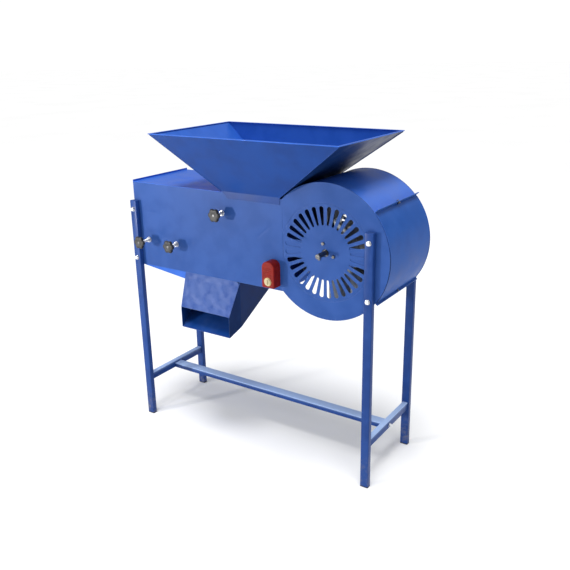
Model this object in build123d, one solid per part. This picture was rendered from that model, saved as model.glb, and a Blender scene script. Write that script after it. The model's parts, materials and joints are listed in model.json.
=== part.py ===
from build123d import *
import os
from math import asin, atan2, cos, hypot, pi, radians, sin, sqrt, tan

# A small electric grain winnower: a fan drum blows through a flat duct, grain falls across
# the air from a hopper, clean grain leaves by the front chute and chaff by the open left end.
# While modelling, X runs along the duct towards the fan, Y from the front to the back and
# Z up. X = 0 and Y = 0 are the middle of the leg frame and Z = 0 is the floor.

# Leg frame
frame_length = 1030.0         # along X, outside of the legs
frame_width = 350.0           # along Y, outside of the legs
leg_height = 905.0
tube_long = 30.0              # rectangular tube 30 x 20
tube_short = 20.0
tube_wall = 1.5
foot_cap_height = 3.0
foot_plug_length = 18.0
brace_bottom = 150.0
tie_bar_width = 40.0          # rectangular tube 40 x 20, laid flat
tie_bar_height = 20.0
tie_bar_z = 160.0

# Sheet metal
sheet = 1.5
duct_height = 320.0
duct_bottom = 653.0
duct_setback = 5.0            # left end of the duct, in from the outside of the legs
duct_rim_height = 7.0
floor_fall = 30.0             # fall of the left floor towards the chute
floor_flange_height = 12.0

# Clean-grain chute
chute_width = 253.0
chute_centre_from_left = 365.0
mouth_width = 226.0
mouth_reach = 54.0            # how far the hood stands out of the front panel
hood_drop = 120.0
mouth_height = 78.0
chute_floor_angle = 27.7
chute_back_drop = 38.0        # level back part of the chute floor, below the duct
chute_upstand = 12.0          # fold of the chute floor inside the back panel

# Fan drum
drum_radius = 230.0
drum_axis_inset = 181.0       # axis of the fan, in from the right outside of the legs
cover_start = -37.0           # the bolted side cover runs between these angles
cover_end = 41.5
upper_lip = 16.0              # bolted lips, measured out from the drum's radius
lower_lip = 10.0
tie_strip_depth = 8.0
tie_strip_thickness = 3.0
slot_count = 32
slot_inner_radius = 92.0
slot_outer_radius = 154.0
slot_inner_width = 8.0
slot_outer_width = 16.0
emboss_radius = 164.0
emboss_width = 4.0
emboss_depth = 0.5

# Fan rotor and motor
shaft_radius = 10.0
stub_radius = 8.5
shaft_stub = 50.0             # from the front plate to the shaft's free end
shaft_shoulder = 2.0          # from the front plate to the step down to the stub
stub_chamfer = 1.0
shaft_hole_radius = 13.0
blade_count = 6
blade_first_angle = 32.0
blade_tip_gap = 22.0
blade_inner_radius = 100.0
blade_thickness = 2.0
blade_end_gap = 14.0
spider_thickness = 3.0
spider_arm_width = 28.0
spider_disc_radius = 62.0
hub_radius = 26.0
hub_length = 44.0
ring_width = 8.0
bar_width = 60.0
bar_thickness = 4.0
bar_end_gap = 6.0             # from a bar's end to the drum joint
bearing_outer_radius = 21.0
bearing_width = 12.0
bearing_flange_radius = 41.0
bearing_bolt_circle = 31.75   # radius
motor_radius = 66.0
motor_length = 132.0
motor_shell = 4.0
motor_shield = 9.0
motor_core_radius = 38.0
motor_core_length = 76.0
motor_bolt_circle = 55.0      # radius

# Hopper
hopper_height = 197.5
neck_length = 242.0
neck_to_drum = 7.5            # neck's right side to the drum joint
neck_collar = 4.5             # neck above the duct top
neck_flange = 24.0
neck_lip = 14.0
rim_left_overhang = 200.0
rim_front_overhang = 128.5
rim_strip_width = 8.0
rim_strip_height = 3.0

# Feed gate and deflectors
gate_below_top = 74.0
gate_left_of_neck = 4.0
feed_lip_x = 42.0             # lip of the feed plate, from the gate shaft
feed_lip_z = -30.0
flap_shaft_radius = 6.0
flap_journal_radius = 5.0
flap_flat = 2.0               # distance of the milled flat from the shaft's axis
deflector_above_floor = 102.0
grain_deflector_gap = 38.0    # from the chute's left side
outlet_deflector_gap = 62.0   # from the duct's left end
deflector_long_side = 100.0
deflector_short_side = 40.0
journal_back_end = 8.0
knob_radius = 25.0
knob_thickness = 18.0
knob_lobes = 6
knob_stand_off = 32.0         # back of the knob to the panel
outlet_knob_stand_off = 41.0  # the same for the knob beside the leg
knob_wall = 6.0               # plastic in front of the shaft's end

# Switch and wiring box
switch_width = 50.0
switch_height = 92.0
switch_depth = 40.0
switch_wall = 2.5
switch_top_radius = 22.0
switch_above_floor = 17.0
switch_to_joint = 12.0
dial_radius = 12.5
dial_depth = 9.0
dial_stem_radius = 4.0
dial_height = 22.0            # dial centre above the bottom of the box
box_width = 96.0
box_height = 74.0
box_depth = 42.0
box_wall = 2.5
gland_radius = 10.0
gland_bore = 4.0
gland_length = 22.0

capacitor_radius = 16.0
capacitor_length = 66.0

# Fasteners
m8 = {"shank": 4.0, "flats": 13.0, "head": 5.3, "nut": 6.5, "washer": 8.5, "washer_t": 1.6}
m6 = {"shank": 3.0, "flats": 10.0, "head": 4.0, "nut": 5.0, "washer": 6.5, "washer_t": 1.6}
m4 = {"shank": 2.0, "flats": 7.0, "head": 2.8, "nut": 3.2}
m10_nut_flats = 17.0
m10_nut_height = 8.0
leg_bolt_heights = (681.0, 872.0)

# Clearances
running_gap = 0.08            # a shaft in its hole
bolt_gap = 0.25               # a shank in its hole
seam_gap = 0.4                # between sheets that overlap
fit_gap = 0.2                 # a plug in its tube
gate_gap = 1.0                # the closed gate's tip to the feed plate
flap_side_gap = 4.0           # a flap's ends to the side panels
blade_motor_gap = 12.0
hopper_drum_gap = 3.0

# Places that follow from the sizes above
body_half = frame_width / 2 - tube_short
inner_half = body_half - sheet
duct_left = -frame_length / 2 + duct_setback
duct_top = duct_bottom + duct_height
drum_x = frame_length / 2 - drum_axis_inset
axis_z = duct_bottom + duct_height / 2
joint_x = drum_x - sqrt(drum_radius ** 2 - (duct_height / 2) ** 2)
joint_angle = 180 - asin(duct_height / 2 / drum_radius) * 180 / pi
leg_x = frame_length / 2 - tube_long / 2
leg_y = frame_width / 2 - tube_short / 2

chute_x = duct_left + chute_centre_from_left
chute_left = chute_x - chute_width / 2
chute_right = chute_x + chute_width / 2
mouth_y = -body_half - mouth_reach
mouth_top = duct_bottom - hood_drop
mouth_bottom = mouth_top - mouth_height
floor_slope = tan(radians(chute_floor_angle))
hood_slope = hood_drop / mouth_reach
hood_skin = sheet * hypot(1, 1 / hood_slope)    # the hood's thickness measured along Y
floor_left_end = duct_bottom - floor_fall
chute_level_z = duct_bottom - chute_back_drop
chute_bend_y = mouth_y + (chute_level_z - mouth_bottom) / floor_slope
chute_back_y = inner_half - seam_gap

neck_right = joint_x - neck_to_drum
neck_left = neck_right - neck_length
neck_z = duct_top + neck_collar
neck_half = body_half + sheet
hopper_top = neck_z + hopper_height
rim_left = neck_left - rim_left_overhang
rim_front = -neck_half - rim_front_overhang

gate_x = neck_left - gate_left_of_neck
gate_z = duct_top - gate_below_top
deflector_z = duct_bottom + deflector_above_floor
grain_deflector_x = chute_left - grain_deflector_gap
outlet_deflector_x = duct_left + outlet_deflector_gap

plate_inner = inner_half                          # inner faces of the drum's side plates
bar_inner = plate_inner - bar_thickness
blade_radius = drum_radius - sheet - blade_tip_gap
blade_half = bar_inner - blade_end_gap
motor_back = bar_inner
motor_front = motor_back - motor_length
spider_y = motor_front - blade_motor_gap - hub_length

switch_right = joint_x - switch_to_joint
switch_x = switch_right - switch_width / 2
switch_bottom = duct_bottom + switch_above_floor
switch_front = -body_half - switch_depth
dial_z = switch_bottom + dial_height
box_x = joint_x - 120.0
box_z = axis_z - 40.0


def block(x, y, z):
    """Box between two limits along each axis."""
    size = [high - low for low, high in (x, y, z)]
    middle = [(high + low) / 2 for low, high in (x, y, z)]
    return Pos(*middle) * Box(*size)


def rod(x, z, radius, y):
    """Round bar along Y."""
    return Pos(x, (y[0] + y[1]) / 2, z) * Rot(90, 0, 0) * Cylinder(radius, y[1] - y[0])


def upright(x, y, radius, z):
    """Round bar along Z."""
    return Pos(x, y, (z[0] + z[1]) / 2) * Cylinder(radius, z[1] - z[0])


def side_plane(y, x=0.0, z=0.0):
    """Plane facing the front, with local axes along X and Z."""
    return Plane(origin=(x, y, z), x_dir=(1, 0, 0), z_dir=(0, -1, 0))


def side_prism(points, y, x=0.0, z=0.0):
    """Outline of (X, Z) points carried along Y."""
    outline = make_face(Polyline(*points, close=True))
    return extrude(side_plane(y[1], x, z) * outline, y[1] - y[0])


def end_prism(points, x):
    """Outline of (Y, Z) points carried along X."""
    outline = make_face(Polyline(*points, close=True))
    return extrude(Plane(origin=(x[0], 0, 0), x_dir=(0, 1, 0), z_dir=(1, 0, 0)) * outline, x[1] - x[0])


def strip(start, end, thickness):
    """Corners of a straight sheet from start to end, its thickness to the right of that way."""
    run = hypot(end[0] - start[0], end[1] - start[1])
    side = ((end[1] - start[1]) / run * thickness, -(end[0] - start[0]) / run * thickness)
    return [start, end, (end[0] + side[0], end[1] + side[1]), (start[0] + side[0], start[1] + side[1])]


def skin(corners, direction, thickness):
    """Flat sheet with these corners, thickened along a direction."""
    return extrude(make_face(Polyline(*corners, close=True)), amount=thickness, dir=direction)


def hexagon(flats, height):
    return extrude(RegularPolygon(flats / 2, 6, major_radius=False), height)


def bolt_y(screw, x, z, y_face, facing, length, washer=True):
    """Hexagon bolt along Y. Its head stands on y_face and faces -Y (-1) or +Y (1)."""
    under = screw["washer_t"] if washer else 0.0
    head = Pos(0, 0, under) * hexagon(screw["flats"], screw["head"])
    shank = Pos(0, 0, under - length / 2) * Cylinder(screw["shank"], length)
    turned = Pos(x, y_face, z) * Rot(-90 * facing, 0, 0)
    solids = [turned * (head + shank)]
    if washer:
        ring = Cylinder(screw["washer"], under) - Cylinder(screw["shank"] + bolt_gap, under)
        solids.append(turned * Pos(0, 0, under / 2) * ring)
    return solids


def nut_y(screw, x, z, y_face, facing):
    """Hexagon nut along Y standing on y_face."""
    nut = hexagon(screw["flats"], screw["nut"]) - Cylinder(screw["shank"], screw["nut"] * 3)
    return Pos(x, y_face, z) * Rot(-90 * facing, 0, 0) * nut


def group(solids):
    return Compound(children=list(solids))


def drum_sector(inner, outer, start, end, y):
    """Part of a ring about the fan's axis between two angles."""
    far = CenterArc((0, 0), outer, start, end - start)
    near = CenterArc((0, 0), inner, start, end - start)
    outline = make_face([far, Line(far @ 1, near @ 1), near, Line(near @ 0, far @ 0)])
    return extrude(side_plane(y[1], drum_x, axis_z) * outline, y[1] - y[0])


def drum_lip(angle, inner, outer, near, far, y):
    """Radial strip at an angle of the drum, between two offsets across that radius."""
    radial = (cos(radians(angle)), sin(radians(angle)))
    across = (-radial[1], radial[0])
    corners = [(radial[0] * r + across[0] * o, radial[1] * r + across[1] * o)
               for r, o in ((inner, near), (outer, near), (outer, far), (inner, far))]
    return side_prism(corners, y, drum_x, axis_z)


def on_drum(radius, angle):
    """X and Z of a point at a radius and angle about the fan's axis."""
    return drum_x + radius * cos(radians(angle)), axis_z + radius * sin(radians(angle))


# Leg frame

def leg(side_x, side_y):
    """Rectangular tube leg, closed at the top, drilled for its two panel bolts."""
    x, y = side_x * leg_x, side_y * leg_y
    outside = block((x - tube_long / 2, x + tube_long / 2), (y - tube_short / 2, y + tube_short / 2),
                    (foot_cap_height, leg_height))
    inside = block((x - tube_long / 2 + tube_wall, x + tube_long / 2 - tube_wall),
                   (y - tube_short / 2 + tube_wall, y + tube_short / 2 - tube_wall),
                   (0, leg_height - tube_wall))
    holes = [rod(x, z, m8["shank"] + bolt_gap, (y - tube_short, y + tube_short)) for z in leg_bolt_heights]
    return outside - inside - holes


def foot_cap(side_x, side_y):
    """Plastic plug in the bottom of a leg, with a pad the size of the tube."""
    x, y = side_x * leg_x, side_y * leg_y
    half_x, half_y = tube_long / 2, tube_short / 2
    inset = tube_wall + fit_gap
    pad = block((x - half_x, x + half_x), (y - half_y, y + half_y), (0, foot_cap_height))
    plug = block((x - half_x + inset, x + half_x - inset), (y - half_y + inset, y + half_y - inset),
                 (foot_cap_height, foot_cap_height + foot_plug_length))
    return pad + plug


def cross_brace(side_x):
    """Tube on edge between the front and the back leg, drilled for the tie bar's bolt."""
    x = side_x * leg_x
    z = (brace_bottom, brace_bottom + tube_long)
    outside = block((x - tube_short / 2, x + tube_short / 2), (-body_half, body_half), z)
    inside = block((x - tube_short / 2 + tube_wall, x + tube_short / 2 - tube_wall),
                   (-body_half, body_half), (z[0] + tube_wall, z[1] - tube_wall))
    hole = Pos(x, 0, tie_bar_z) * Rot(0, 90, 0) * Cylinder(m8["shank"] + bolt_gap, tube_short * 2)
    return outside - inside - hole


def tie_bar():
    """Flat-laid tube between the cross braces, with a threaded plug at each end for its bolts."""
    reach = leg_x - tube_short / 2
    half_y, half_z = tie_bar_width / 2, tie_bar_height / 2
    outside = block((-reach, reach), (-half_y, half_y), (tie_bar_z - half_z, tie_bar_z + half_z))
    inner_y, inner_z = half_y - tube_wall, half_z - tube_wall
    plug_length = 30.0
    hollow = block((-reach + plug_length, reach - plug_length), (-inner_y, inner_y),
                   (tie_bar_z - inner_z, tie_bar_z + inner_z))
    thread = Pos(0, 0, tie_bar_z) * Rot(0, 90, 0) * Cylinder(m8["shank"], 2 * reach)
    return outside - hollow - thread


def tie_bolt(side_x):
    """Bolt through a cross brace into the end of the tie bar."""
    outer = leg_x + tube_short / 2
    under = m8["washer_t"]
    length = tube_short + 22.0
    head = Pos(0, 0, under) * hexagon(m8["flats"], m8["head"])
    shank = Pos(0, 0, under - length / 2) * Cylinder(m8["shank"], length)
    ring = Cylinder(m8["washer"], under) - Cylinder(m8["shank"] + bolt_gap, under)
    turned = Pos(side_x * outer, 0, tie_bar_z) * Rot(0, 90 * side_x, 0)
    return [turned * (head + shank), turned * Pos(0, 0, under / 2) * ring]


def leg_bolts():
    """Two bolts with washers through each leg and the panel behind it."""
    length = tube_short + sheet + m8["nut"] + m8["washer_t"] + 3.0
    solids = []
    for side_x in (-1, 1):
        for side_y in (-1, 1):
            for z in leg_bolt_heights:
                face = side_y * frame_width / 2
                solids += bolt_y(m8, side_x * leg_x, z, face, side_y, length)
    return solids


def leg_nuts():
    return [nut_y(m8, side_x * leg_x, z, side_y * inner_half, -side_y)
            for side_x in (-1, 1) for side_y in (-1, 1) for z in leg_bolt_heights]


# Duct and chute

def bolt_holes(x, y_reach):
    return [rod(x, z, m8["shank"] + bolt_gap, y_reach) for z in leg_bolt_heights]


def duct_side(side_y):
    """Flat side panel of the duct with holes for the legs and the three flap shafts."""
    y = (-body_half, -inner_half) if side_y < 0 else (inner_half, body_half)
    reach = (y[0] - sheet, y[1] + sheet)
    panel = block((duct_left, joint_x), y, (duct_bottom, duct_top))
    holes = bolt_holes(-leg_x, reach)
    hole = flap_journal_radius + running_gap
    holes += [rod(x, z, hole, reach) for x, z in flap_axes()]
    return panel - holes


def duct_top_panel():
    """Sheet over the duct, left of the hopper, with a rim folded up at the open end."""
    flat = block((duct_left, neck_left - seam_gap), (-body_half, body_half), (duct_top, duct_top + sheet))
    rim = block((duct_left, duct_left + sheet), (-body_half, body_half),
                (duct_top, duct_top + sheet + duct_rim_height))
    return flat + rim


def duct_floor_left():
    """Floor that falls to the chute, with flanges inside the side panels."""
    low, high = (chute_left - seam_gap, floor_left_end), (duct_left + sheet, duct_bottom)
    plate = side_prism(strip(low, high, sheet), (-inner_half, inner_half))
    outline = [low, high, (high[0], duct_bottom + floor_flange_height),
               (low[0], duct_bottom + floor_flange_height)]
    flanges = [side_prism(outline, y) for y in
               ((-inner_half, -inner_half + sheet), (inner_half - sheet, inner_half))]
    return plate + flanges


def duct_floor_right():
    """Level floor from the chute to the drum, with a cut-off lip beside the fan."""
    x = (chute_right + seam_gap, joint_x)
    z = (duct_bottom, duct_bottom + sheet)
    plate = block(x, (-inner_half, inner_half), z)
    lip = block((joint_x - sheet, joint_x), (-inner_half, inner_half), (duct_bottom, duct_bottom + 26.0))
    flanges = [block(x, y, (duct_bottom, duct_bottom + floor_flange_height)) for y in
               ((-inner_half, -inner_half + sheet), (inner_half - sheet, inner_half))]
    return plate + lip + flanges


def hood_z(y, inside=False):
    """Height of the hood's outer or inner face at a place along Y."""
    start = -body_half + (hood_skin if inside else 0.0)
    return duct_bottom + (y - start) * hood_slope


def floor_z(y):
    """Height of the chute floor's upper face at a place along Y."""
    return mouth_bottom + (y - mouth_y) * floor_slope


def chute_hood():
    """Sloping front of the chute, flush with the front panel and narrowing to the mouth."""
    top, low = chute_width / 2, mouth_width / 2
    corners = [(chute_x - top, -body_half, duct_bottom), (chute_x + top, -body_half, duct_bottom),
               (chute_x + low, mouth_y, mouth_top), (chute_x - low, mouth_y, mouth_top)]
    return skin(corners, (0, 1, 0), hood_skin)


def chute_cheek(side):
    """Side of the chute: straight under the duct, bent in towards the mouth."""
    front_y = -body_half
    top = duct_bottom if side > 0 else floor_left_end
    under_hood = hood_z(front_y, True)
    x_rear = chute_x + side * chute_width / 2
    x_mouth = chute_x + side * mouth_width / 2
    outline = [(front_y, floor_z(front_y)), (chute_bend_y, chute_level_z), (chute_back_y, chute_level_z),
               (chute_back_y, top)]
    if side > 0:
        outline += [(front_y + hood_skin, top), (front_y, under_hood)]
    else:
        outline += [(front_y, top)]
    rear = [(x_rear, y, z) for y, z in outline]
    front = [(x_rear, front_y, floor_z(front_y)), (x_mouth, mouth_y, mouth_bottom),
             (x_mouth, mouth_y, hood_z(mouth_y, True)), (x_rear, front_y, under_hood)]
    inward = (-side, 0, 0)
    return skin(rear, inward, sheet) + skin(front, inward, sheet)


def chute_floor():
    """Floor under the cheeks: level and folded up at the back, then sloping to the mouth."""
    half, low = chute_width / 2, mouth_width / 2
    outline = [(chute_x - low, mouth_y), (chute_x + low, mouth_y), (chute_right, -body_half),
               (chute_right, chute_bend_y), (chute_left, chute_bend_y), (chute_left, -body_half)]
    corners = [(x, y, floor_z(y)) for x, y in outline]
    slope = skin(corners, (0, 0, -1), sheet / cos(radians(chute_floor_angle)))
    level = block((chute_left, chute_right), (chute_bend_y, chute_back_y),
                  (chute_level_z - sheet, chute_level_z))
    inside = (chute_x - half + sheet, chute_x + half - sheet)
    upstand = block(inside, (chute_back_y - sheet, chute_back_y),
                    (chute_level_z, duct_bottom + chute_upstand))
    return slope + level + upstand


# Fan drum

def air_slot(angle):
    """Tapered slot with round ends, pointing at the fan's axis."""
    inner, outer = slot_inner_width / 2, slot_outer_width / 2
    r0, r1 = slot_inner_radius + inner, slot_outer_radius - outer
    tilt = asin((outer - inner) / (r1 - r0))
    def touch(r, radius, side):
        return (r - radius * sin(tilt), side * radius * cos(tilt))
    sides = make_face(Polyline(touch(r0, inner, 1), touch(r1, outer, 1), touch(r1, outer, -1),
                               touch(r0, inner, -1), close=True))
    ends = Pos(r0, 0) * Circle(inner) + Pos(r1, 0) * Circle(outer)
    return Rot(0, 0, angle) * (sides + ends)


def drum_plate(side_y):
    """Round side plate of the drum, cut off at the duct, with a ring of air slots."""
    y = (-body_half, -inner_half) if side_y < 0 else (inner_half, body_half)
    disc = Circle(drum_radius)
    cut = Pos(joint_x - drum_x - drum_radius, 0) * Rectangle(2 * drum_radius, 3 * drum_radius)
    outline = disc - cut - Circle(shaft_hole_radius)
    for number in range(slot_count):
        outline -= air_slot(360.0 / slot_count * (number + 0.5))
    plate = extrude(side_plane(y[1], drum_x, axis_z) * outline, sheet)
    face = y[0] if side_y < 0 else y[1]
    half = emboss_width / 2
    groove = rod(drum_x, axis_z, emboss_radius + half, (face - emboss_depth, face + emboss_depth))
    groove -= rod(drum_x, axis_z, emboss_radius - half, (face - sheet, face + sheet))
    groove -= block((joint_x - drum_radius, joint_x + 2.0), (face - sheet, face + sheet),
                    (axis_z - drum_radius, axis_z + drum_radius))
    reach = (y[0] - sheet, y[1] + sheet)
    holes = bolt_holes(leg_x, reach)
    if side_y < 0:
        holes += bearing_holes(reach)
    return plate - groove - holes


def drum_upper_shell():
    """Curved sheet over the drum, with a tab to the hopper neck and a bolting lip."""
    y = (-inner_half, inner_half)
    arc = drum_sector(drum_radius - sheet, drum_radius, cover_end, joint_angle, y)
    corner_z = axis_z + duct_height / 2
    tab = block((neck_right + seam_gap, joint_x + sheet), y, (corner_z - sheet, corner_z))
    lip = drum_lip(cover_end, drum_radius - sheet, drum_radius + upper_lip, 0, sheet, y)
    return arc + tab + lip - seam_hole(upper_seam)


def drum_side_cover():
    """Curved cover on the right, over the edges of the side plates, with a lip at each end."""
    y = (-body_half, body_half)
    inner = drum_radius + seam_gap
    arc = drum_sector(inner, inner + sheet, cover_start, cover_end, y)
    upper = drum_lip(cover_end, inner, drum_radius + upper_lip, -sheet, 0, y)
    lower = drum_lip(cover_start, inner, drum_radius + lower_lip, 0, sheet, y)
    return arc + upper + lower - seam_hole(upper_seam) - seam_hole(lower_seam)


def drum_tie_strip():
    """Flat bar between the side plates, under the cover's lower lip."""
    bar = drum_lip(cover_start, drum_radius - tie_strip_depth, drum_radius + lower_lip,
                   -tie_strip_thickness, 0, (-inner_half, inner_half))
    return bar - seam_hole(lower_seam)


def seam_place(seam):
    """Place of a seam's bolt, with its local Z square to the lip."""
    cover = seam_gap + sheet
    x, z = on_drum(drum_radius + (cover + seam["lip"]) / 2, seam["angle"])
    return Pos(x, 0, z) * Rot(0, -seam["angle"], 0)


def seam_hole(seam):
    return seam_place(seam) * Cylinder(seam["screw"]["shank"] + bolt_gap, 20.0)


def seam_bolt(seam):
    """Bolt and nut through a lip. Its head stands above and its nut hangs below."""
    screw = seam["screw"]
    length = seam["above"] + seam["below"] + screw["nut"] + 1.5
    bolt = Pos(0, 0, seam["above"]) * hexagon(screw["flats"], screw["head"])
    bolt += Pos(0, 0, seam["above"] - length / 2) * Cylinder(screw["shank"], length)
    nut = hexagon(screw["flats"], screw["nut"]) - Cylinder(screw["shank"], 20.0)
    place = seam_place(seam)
    return [place * bolt, place * Pos(0, 0, -seam["below"] - screw["nut"]) * nut]


upper_seam = {"angle": cover_end, "lip": upper_lip, "screw": m6, "above": sheet, "below": sheet}
lower_seam = {"angle": cover_start, "lip": lower_lip, "screw": m4, "above": sheet,
              "below": tie_strip_thickness}


# Bearing and motor supports

def bearing_holes(reach):
    return [rod(*on_drum(bearing_bolt_circle, angle), m6["shank"] + bolt_gap, reach)
            for angle in bearing_bolt_angles()]


def bearing_bolt_angles():
    return [105.0 + 120.0 * number for number in range(3)]


def bearing_bar():
    """Flat bar across the front plate's middle that carries the bearing."""
    reach = drum_x - joint_x - bar_end_gap
    y = (-plate_inner, -bar_inner)
    bar = block((drum_x - reach, drum_x + reach), y, (axis_z - bar_width / 2, axis_z + bar_width / 2))
    bar += rod(drum_x, axis_z, bearing_flange_radius, y)
    through = (y[0] - sheet, y[1] + sheet)
    return bar - rod(drum_x, axis_z, shaft_hole_radius, through) - bearing_holes(through)


def bearing_housing():
    """Pressed flange with three bolt holes around the bearing."""
    back = -bar_inner + bearing_width + 2.0
    flange = rod(drum_x, axis_z, bearing_flange_radius, (-bar_inner, -bar_inner + 4.0))
    cup = rod(drum_x, axis_z, bearing_outer_radius + 3.0, (-bar_inner, back))
    seat = rod(drum_x, axis_z, bearing_outer_radius, (-bar_inner, back - 2.0))
    eye = rod(drum_x, axis_z, shaft_hole_radius, (-body_half, back + 2.0))
    return flange + cup - seat - eye - bearing_holes((-body_half, back))


def bearing():
    """Ball bearing as one ring with a running fit on the shaft."""
    y = (-bar_inner, -bar_inner + bearing_width)
    return rod(drum_x, axis_z, bearing_outer_radius, y) - rod(drum_x, axis_z, shaft_radius + running_gap, y)


def bearing_bolts():
    """Three bolts from the front plate, through the bar and the flange, with their nuts."""
    length = sheet + bar_thickness + 4.0 + m6["nut"] + 1.5
    solids = []
    for angle in bearing_bolt_angles():
        x, z = on_drum(bearing_bolt_circle, angle)
        solids += bolt_y(m6, x, z, -body_half, -1, length, washer=False)
        solids.append(nut_y(m6, x, z, -bar_inner + 4.0, 1))
    return solids


def motor_bar():
    """Flat bar across the back plate's middle that carries the motor."""
    reach = drum_x - joint_x - bar_end_gap
    y = (bar_inner, plate_inner)
    bar = block((drum_x - reach, drum_x + reach), y, (axis_z - bar_width / 2, axis_z + bar_width / 2))
    return bar + rod(drum_x, axis_z, motor_radius, y)


def motor_casing():
    """Round motor shell with low cooling ribs along it."""
    y = (motor_front + motor_shield, motor_back - motor_shield)
    shell = rod(drum_x, axis_z, motor_radius, y)
    for number in range(24):
        rib = block((motor_radius - 1.0, motor_radius + 4.0), (y[0] + 12.0, y[1] - 12.0), (-1.0, 1.0))
        shell += Pos(drum_x, 0, axis_z) * Rot(0, 15.0 * number, 0) * rib
    return shell - rod(drum_x, axis_z, motor_radius - motor_shell, y)


def motor_shields():
    """End shields of the motor, each with a bearing boss."""
    shields = []
    for outer, inner in ((motor_front, motor_front + motor_shield), (motor_back, motor_back - motor_shield)):
        y = (min(outer, inner), max(outer, inner))
        deep = inner + (8.0 if inner > outer else -8.0)
        boss = (min(inner, deep), max(inner, deep))
        shield = rod(drum_x, axis_z, motor_radius, y) + rod(drum_x, axis_z, 24.0, boss)
        bore = (motor_front - 1.0, motor_back - 4.0)
        shields.append(shield - rod(drum_x, axis_z, shaft_radius + running_gap, bore))
    return shields


def motor_rotor():
    """Laminated rotor on the motor's shaft."""
    middle = (motor_front + motor_back) / 2
    y = (middle - motor_core_length / 2, middle + motor_core_length / 2)
    return rod(drum_x, axis_z, motor_core_radius, y) - rod(drum_x, axis_z, shaft_radius, y)


# Fan rotor

def fan_shaft():
    """Motor shaft, long enough to pass the front bearing and stand out as a free end."""
    step = -body_half - shaft_shoulder
    shaft = rod(drum_x, axis_z, shaft_radius, (step, motor_back - 4.5))
    shaft += rod(drum_x, axis_z, stub_radius, (-body_half - shaft_stub, step))
    return chamfer(shaft.edges().filter_by(GeomType.CIRCLE).sort_by(Axis.Y)[0], stub_chamfer)


def impeller_hub():
    y = (spider_y, spider_y + hub_length)
    return rod(drum_x, axis_z, hub_radius, y) - rod(drum_x, axis_z, shaft_radius, y)


def blade_angles():
    return [blade_first_angle + 360.0 / blade_count * number for number in range(blade_count)]


def turned_about_axis(shape, angle):
    """Turn a shape, drawn at angle zero about the origin, to its place on the drum's axis."""
    return Pos(drum_x, 0, axis_z) * Rot(0, -angle, 0) * shape


def impeller_spider():
    """Star plate on the hub's front face, with an arm beside each blade."""
    y = (spider_y - spider_thickness, spider_y)
    plate = Rot(90, 0, 0) * Cylinder(spider_disc_radius, spider_thickness)
    plate = Pos(0, (y[0] + y[1]) / 2, 0) * plate
    star = Pos(drum_x, 0, axis_z) * plate
    side = blade_thickness / 2
    arm = block((0, blade_radius - 14.0), y, (side, side + spider_arm_width))
    for angle in blade_angles():
        star += turned_about_axis(arm, angle)
    return star - rod(drum_x, axis_z, shaft_radius, (y[0] - 1.0, y[1] + 1.0))


def impeller_blades():
    """Flat radial blades along the whole drum."""
    side = blade_thickness / 2
    blade = block((blade_inner_radius, blade_radius), (-blade_half, blade_half), (-side, side))
    return [turned_about_axis(blade, angle) for angle in blade_angles()]


def impeller_ring():
    """Ring that ties the free ends of the blades together."""
    y = (blade_half, blade_half + spider_thickness)
    return rod(drum_x, axis_z, blade_radius, y) - rod(drum_x, axis_z, blade_radius - ring_width * 2, y)


# Hopper

def right_wall_lean():
    """Slope angle of the right wall, which just clears the drum below it."""
    reach = drum_radius + hopper_drum_gap
    across, down = drum_x - neck_right, axis_z - neck_z
    return atan2(down, across) + asin(reach / hypot(across, down))


rim_right = neck_right + hopper_height / tan(right_wall_lean())


def hopper_block():
    """Full wedge-shaped block that the four hopper walls are cut from."""
    def rectangle(x, y, z):
        place = Plane((0, 0, z)) * Pos((x[0] + x[1]) / 2, (y[0] + y[1]) / 2)
        return place * Rectangle(x[1] - x[0], y[1] - y[0])
    neck = rectangle((neck_left, neck_right), (-neck_half, neck_half), neck_z)
    rim = rectangle((rim_left, rim_right), (rim_front, neck_half), hopper_top)
    return loft([neck, rim], ruled=True)


def wall_plane(low, high, across, outward):
    """Plane just inside a wall, through its neck edge and rim edge, facing outwards."""
    up = Vector(*high) - Vector(*low)
    normal = up.cross(Vector(*across)).normalized()
    if normal.dot(Vector(*outward)) < 0:
        normal = normal * -1
    return Plane(origin=Vector(*low) - normal * sheet, z_dir=normal)


def hopper_walls():
    """Front, back, left and right walls, each with its fold at the neck."""
    rest = hopper_block()
    faces = [
        wall_plane((0, -neck_half, neck_z), (0, rim_front, hopper_top), (1, 0, 0), (0, -1, 0)),
        wall_plane((0, neck_half, neck_z), (0, neck_half, hopper_top), (1, 0, 0), (0, 1, 0)),
        wall_plane((neck_left, 0, neck_z), (rim_left, 0, hopper_top), (0, 1, 0), (-1, 0, 0)),
        wall_plane((neck_right, 0, neck_z), (rim_right, 0, hopper_top), (0, 1, 0), (1, 0, 0)),
    ]
    walls = []
    for plane in faces:
        walls.append(split(rest, bisect_by=plane, keep=Keep.TOP))
        rest = split(rest, bisect_by=plane, keep=Keep.BOTTOM)
    front, back, left, right = walls
    corner = neck_flange
    flange = [(neck_left, neck_z), (neck_right, neck_z), (neck_right, neck_z - corner),
              (neck_left + corner, neck_z - corner)]
    front += side_prism(flange, (-neck_half, -body_half))
    back += side_prism(flange, (body_half, neck_half))
    lip_y = (-inner_half, inner_half)
    lip_z = (neck_z - neck_collar - neck_lip, neck_z)
    left += block((neck_left, neck_left + sheet), lip_y, lip_z)
    right += block((neck_right - sheet, neck_right), lip_y, lip_z)
    return front, back, left, right


def hopper_rim_strip():
    """Flat edging strip on the hopper's rim."""
    def frame(grow):
        return block((rim_left - grow, rim_right + grow), (rim_front - grow, neck_half + grow),
                     (hopper_top, hopper_top + rim_strip_height))
    outer = rim_strip_width / 2 - 1.0
    return frame(outer) - frame(outer - rim_strip_width)


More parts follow.
